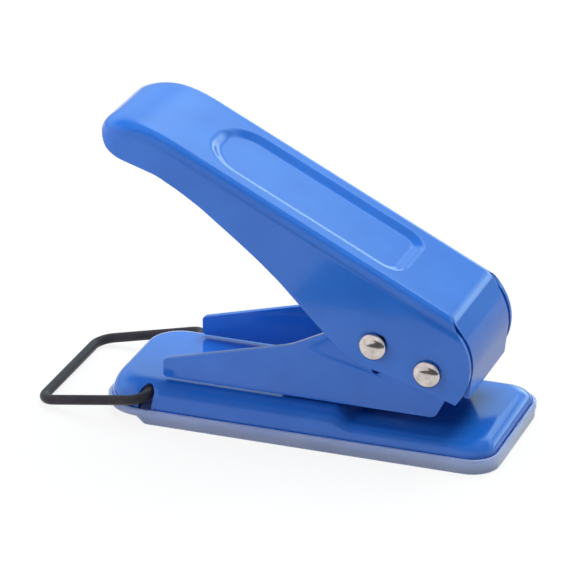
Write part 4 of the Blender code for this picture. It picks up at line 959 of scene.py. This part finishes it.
# Floor, light and camera
studio = {"floorSize": 3.0, "floorDrop": 0.00005, "floorShade": 0.14, "floorThrough": 1.0,
          "floorWhite": 0.85, "floorGloss": 0.95, "ambient": 0.17, "dim": 0.12,
          "frontGlow": (0.92, 0.89, 0.90, 1.0), "backGlow": (2.0, 2.7, 2.8, 1.0)}
lampAim = (0, 0, 0.03)
lamps = {"overhead": {"power": 8.6, "size": 0.7, "place": (0.05, 0.29, 0.71), "colour": (0.92, 1.0, 1.0)},
         "front_fill": {"power": 0.74, "size": 0.20, "place": (-0.30, -0.20, 0.18),
                        "colour": (1.0, 0.95, 0.98)}}
cameraView = {"lens": 251.67, "sensor": 36.0, "clip": (0.01, 50.0), "place": (0.29794, -0.84745, 0.42482),
              "pitchDeg": 66.45, "turnDeg": 19.87}
# where one band takes over from the next, as a direction's part along Y or X, and how bright the right is
bandTurns = {"behind": (-0.15, 0.35), "left": (-0.10, -0.25), "right": (0.35, 0.60), "rightShare": 0.60}
# each stop is a height, from straight down at 0 to straight up at 1, and how bright gloss sees it
frontBands = ((0.0, 0.80), (0.492, 0.80), (0.565, 1.0), (0.665, 1.0), (0.91, 0.95), (0.94, 0.20),
              (1.0, 0.10))
backBands = ((0.0, 0.50), (0.485, 0.50), (0.498, 0.45), (0.508, 0.14), (0.538, 0.14), (0.556, 0.90),
             (0.630, 1.0), (0.660, 0.60), (0.700, 0.34), (0.712, 0.36), (0.720, 0.10), (0.729, 0.12),
             (0.736, 0.50), (0.745, 0.62), (0.765, 0.62), (0.80, 0.42), (0.835, 0.20), (0.85, 0.04),
             (1.0, 0.0))
leftBands = ((0.0, 0.50), (0.485, 0.50), (0.498, 0.45), (0.508, 0.14), (0.538, 0.14), (0.600, 0.22),
             (0.660, 0.24), (0.690, 0.33), (0.720, 0.36), (0.80, 0.30), (0.85, 0.04), (1.0, 0.0))
# sheets that only gloss sees: left and right edge, near edge and its height, far edge and its height, shade
cards = {"front_card": (-0.03, 2.5, -2.8, 0.0005, -0.095, 0.0005, 0.10),
         "standing_card": (-0.30, 2.5, -2.8, 0.0005, -2.8, 0.50, 0.10),
         "near_card": (-0.01, 2.5, -0.095, 0.0005, -0.026, 0.0005, 0.85),
         "rear_card": (0.02, 2.5, 0.024, 0.0005, 2.8, 0.0005, 0.62)}


def grey(level):
    # one level for red, green and blue, opaque
    return (level, level, level, 1.0)


def newSheet(name, finish, left, right, near, low, far, high):
    # one flat face between a near and a far edge, marked as stage, with an empty tree for its finish
    mesh = bpy.data.meshes.new(name)
    mesh.from_pydata([(left, near, low), (right, near, low), (right, far, high), (left, far, high)], [],
                     [(0, 1, 2, 3)])
    sheet = putInScene(name, mesh)
    material = bpy.data.materials.new(finish)
    material.use_nodes = True
    material.node_tree.nodes.clear()
    mesh.materials.append(material)
    return sheet, material.node_tree


def makeFloor():
    # a pale sheet that the camera sees nearly as white as the backdrop, with the object's soft shadow
    size, z = studio["floorSize"], -studio["floorDrop"]
    _, tree = newSheet("floor", "floor_paper_white", -size, size, -size, z, size, z)
    path = addNode(tree, "ShaderNodeLightPath")
    paper = addNode(tree, "ShaderNodeBsdfDiffuse", {"Color": grey(studio["floorWhite"])})
    clear = addNode(tree, "ShaderNodeBsdfTransparent")
    share = addNode(tree, "ShaderNodeMapRange",
                    {"To Min": studio["floorShade"], "To Max": studio["floorThrough"]},
                    {0: path.outputs["Is Transmission Ray"]})
    veil = addNode(tree, "ShaderNodeMixShader", None,
                   {0: share.outputs["Result"], 1: clear.outputs[0], 2: paper.outputs[0]})
    direct = addNode(tree, "ShaderNodeMath", None,
                     {0: path.outputs["Is Camera Ray"], 1: path.outputs["Is Transmission Ray"]},
                     operation="MAXIMUM")
    bright = addNode(tree, "ShaderNodeEmission", {"Color": grey(studio["floorGloss"]), "Strength": 1.0})
    mirrored = addNode(tree, "ShaderNodeMixShader", None,
                       {0: path.outputs["Is Glossy Ray"], 1: paper.outputs[0], 2: bright.outputs[0]})
    seen = addNode(tree, "ShaderNodeMixShader", None,
                   {0: direct.outputs[0], 1: mirrored.outputs[0], 2: veil.outputs[0]})
    addNode(tree, "ShaderNodeOutputMaterial", None, {"Surface": seen.outputs[0]})


def makeCard(name):
    # a sheet that only gloss sees, lying near the object or standing at the floor's edge: it sets how dark
    # the reflections in the walls, the rivets and the nose are
    *edges, level = cards[name]
    card, tree = newSheet(name, name, *edges)
    card.visible_camera = False
    card.visible_diffuse = False
    card.visible_transmission = False
    card.visible_shadow = False
    glow = addNode(tree, "ShaderNodeEmission", {"Color": grey(level), "Strength": 1.0})
    addNode(tree, "ShaderNodeOutputMaterial", None, {"Surface": glow.outputs[0]})


def makeWorld():
    # white all round for the camera; gloss sees bands of light by height, brighter behind, dim beyond them
    world = bpy.data.worlds.new("studio")
    bpy.context.scene.world = world
    world.use_nodes = True
    tree = world.node_tree
    tree.nodes.clear()
    path = addNode(tree, "ShaderNodeLightPath")
    way = addNode(tree, "ShaderNodeSeparateXYZ", None,
                  {0: addNode(tree, "ShaderNodeTexCoord").outputs["Generated"]})
    height = addNode(tree, "ShaderNodeMapRange", {"From Min": -1.0, "From Max": 1.0}, {0: way.outputs["Z"]})
    bands = []
    for stops in (frontBands, backBands, leftBands):
        ramp = addNode(tree, "ShaderNodeValToRGB", None, {0: height.outputs["Result"]})
        ramp.color_ramp.elements[1].position = 1.0
        for place, _ in stops[1:-1]:
            ramp.color_ramp.elements.new(place)
        for element, (_, level) in zip(ramp.color_ramp.elements, stops):
            element.color = grey(level)
        bands.append(ramp.outputs["Color"])
    behind = addNode(tree, "ShaderNodeMapRange",
                     {"From Min": bandTurns["behind"][0], "From Max": bandTurns["behind"][1]},
                     {0: way.outputs["Y"]})
    leftward = addNode(tree, "ShaderNodeMapRange",
                       {"From Min": bandTurns["left"][0], "From Max": bandTurns["left"][1]},
                       {0: way.outputs["X"]})
    aside = addNode(tree, "ShaderNodeMapRange",
                    {"From Min": bandTurns["right"][0], "From Max": bandTurns["right"][1], "To Min": 1.0,
                     "To Max": bandTurns["rightShare"]}, {0: way.outputs["X"]})
    glow = addNode(tree, "ShaderNodeMix", {"A": studio["frontGlow"], "B": studio["backGlow"]},
                   {"Factor": behind.outputs["Result"]}, data_type="RGBA", clamp_result=False)
    rear = addNode(tree, "ShaderNodeMix", None,
                   {"Factor": leftward.outputs["Result"], "A": bands[1], "B": bands[2]}, data_type="RGBA")
    banded = addNode(tree, "ShaderNodeMix", None,
                     {"Factor": behind.outputs["Result"], "A": bands[0], "B": rear.outputs["Result"]},
                     data_type="RGBA")
    sided = addNode(tree, "ShaderNodeMath", None,
                    {0: banded.outputs["Result"], 1: aside.outputs["Result"]}, operation="MULTIPLY")
    room = addNode(tree, "ShaderNodeMix", {"A": grey(studio["dim"])},
                   {"Factor": sided.outputs[0], "B": glow.outputs["Result"]},
                   data_type="RGBA", clamp_result=False)
    soft = addNode(tree, "ShaderNodeBackground", {"Color": grey(1), "Strength": studio["ambient"]})
    gloss = addNode(tree, "ShaderNodeBackground", {"Strength": 1.0}, {"Color": room.outputs["Result"]})
    white = addNode(tree, "ShaderNodeBackground", {"Color": grey(1), "Strength": 1.0})
    shiny = addNode(tree, "ShaderNodeMixShader", None,
                    {0: path.outputs["Is Glossy Ray"], 1: soft.outputs[0], 2: gloss.outputs[0]})
    through = addNode(tree, "ShaderNodeMixShader", None,
                      {0: path.outputs["Is Transmission Ray"], 1: shiny.outputs[0], 2: white.outputs[0]})
    seen = addNode(tree, "ShaderNodeMixShader", None,
                   {0: path.outputs["Is Camera Ray"], 1: through.outputs[0], 2: white.outputs[0]})
    addNode(tree, "ShaderNodeOutputWorld", None, {"Surface": seen.outputs[0]})


def addSoftbox(name):
    # a square lamp whose three directions are worked out so that it shines at the aim
    values = lamps[name]
    lamp = bpy.data.lights.new(name, "AREA")
    lamp.shape = "SQUARE"
    lamp.size = values["size"]
    lamp.energy = values["power"]
    lamp.color = values["colour"]
    light = putInScene(name, lamp)
    light.visible_glossy = False
    place, aim = np.array(values["place"]), np.array(lampAim)
    back = (place - aim) / np.linalg.norm(place - aim)
    side = np.cross([0, 1, 0], back)
    side /= np.linalg.norm(side)
    up = np.cross(back, side)
    light.matrix_world = Matrix([[side[i], up[i], back[i], place[i]] for i in range(3)] + [[0, 0, 0, 1]])


def makeCamera():
    # a long lens from the front right, fitted to the tray's outline
    view = cameraView
    lens = bpy.data.cameras.new("camera")
    lens.lens, lens.sensor_width = view["lens"], view["sensor"]
    lens.clip_start, lens.clip_end = view["clip"]
    camera = putInScene("camera", lens)
    camera.location = view["place"]
    camera.rotation_euler = (math.radians(view["pitchDeg"]), 0, math.radians(view["turnDeg"]))
    bpy.context.scene.camera = camera


makeFloor()
makeWorld()
for name in cards:
    makeCard(name)
for name in lamps:
    addSoftbox(name)
makeCamera()
bpy.context.scene.view_settings.view_transform = "Standard"
print("studio done")
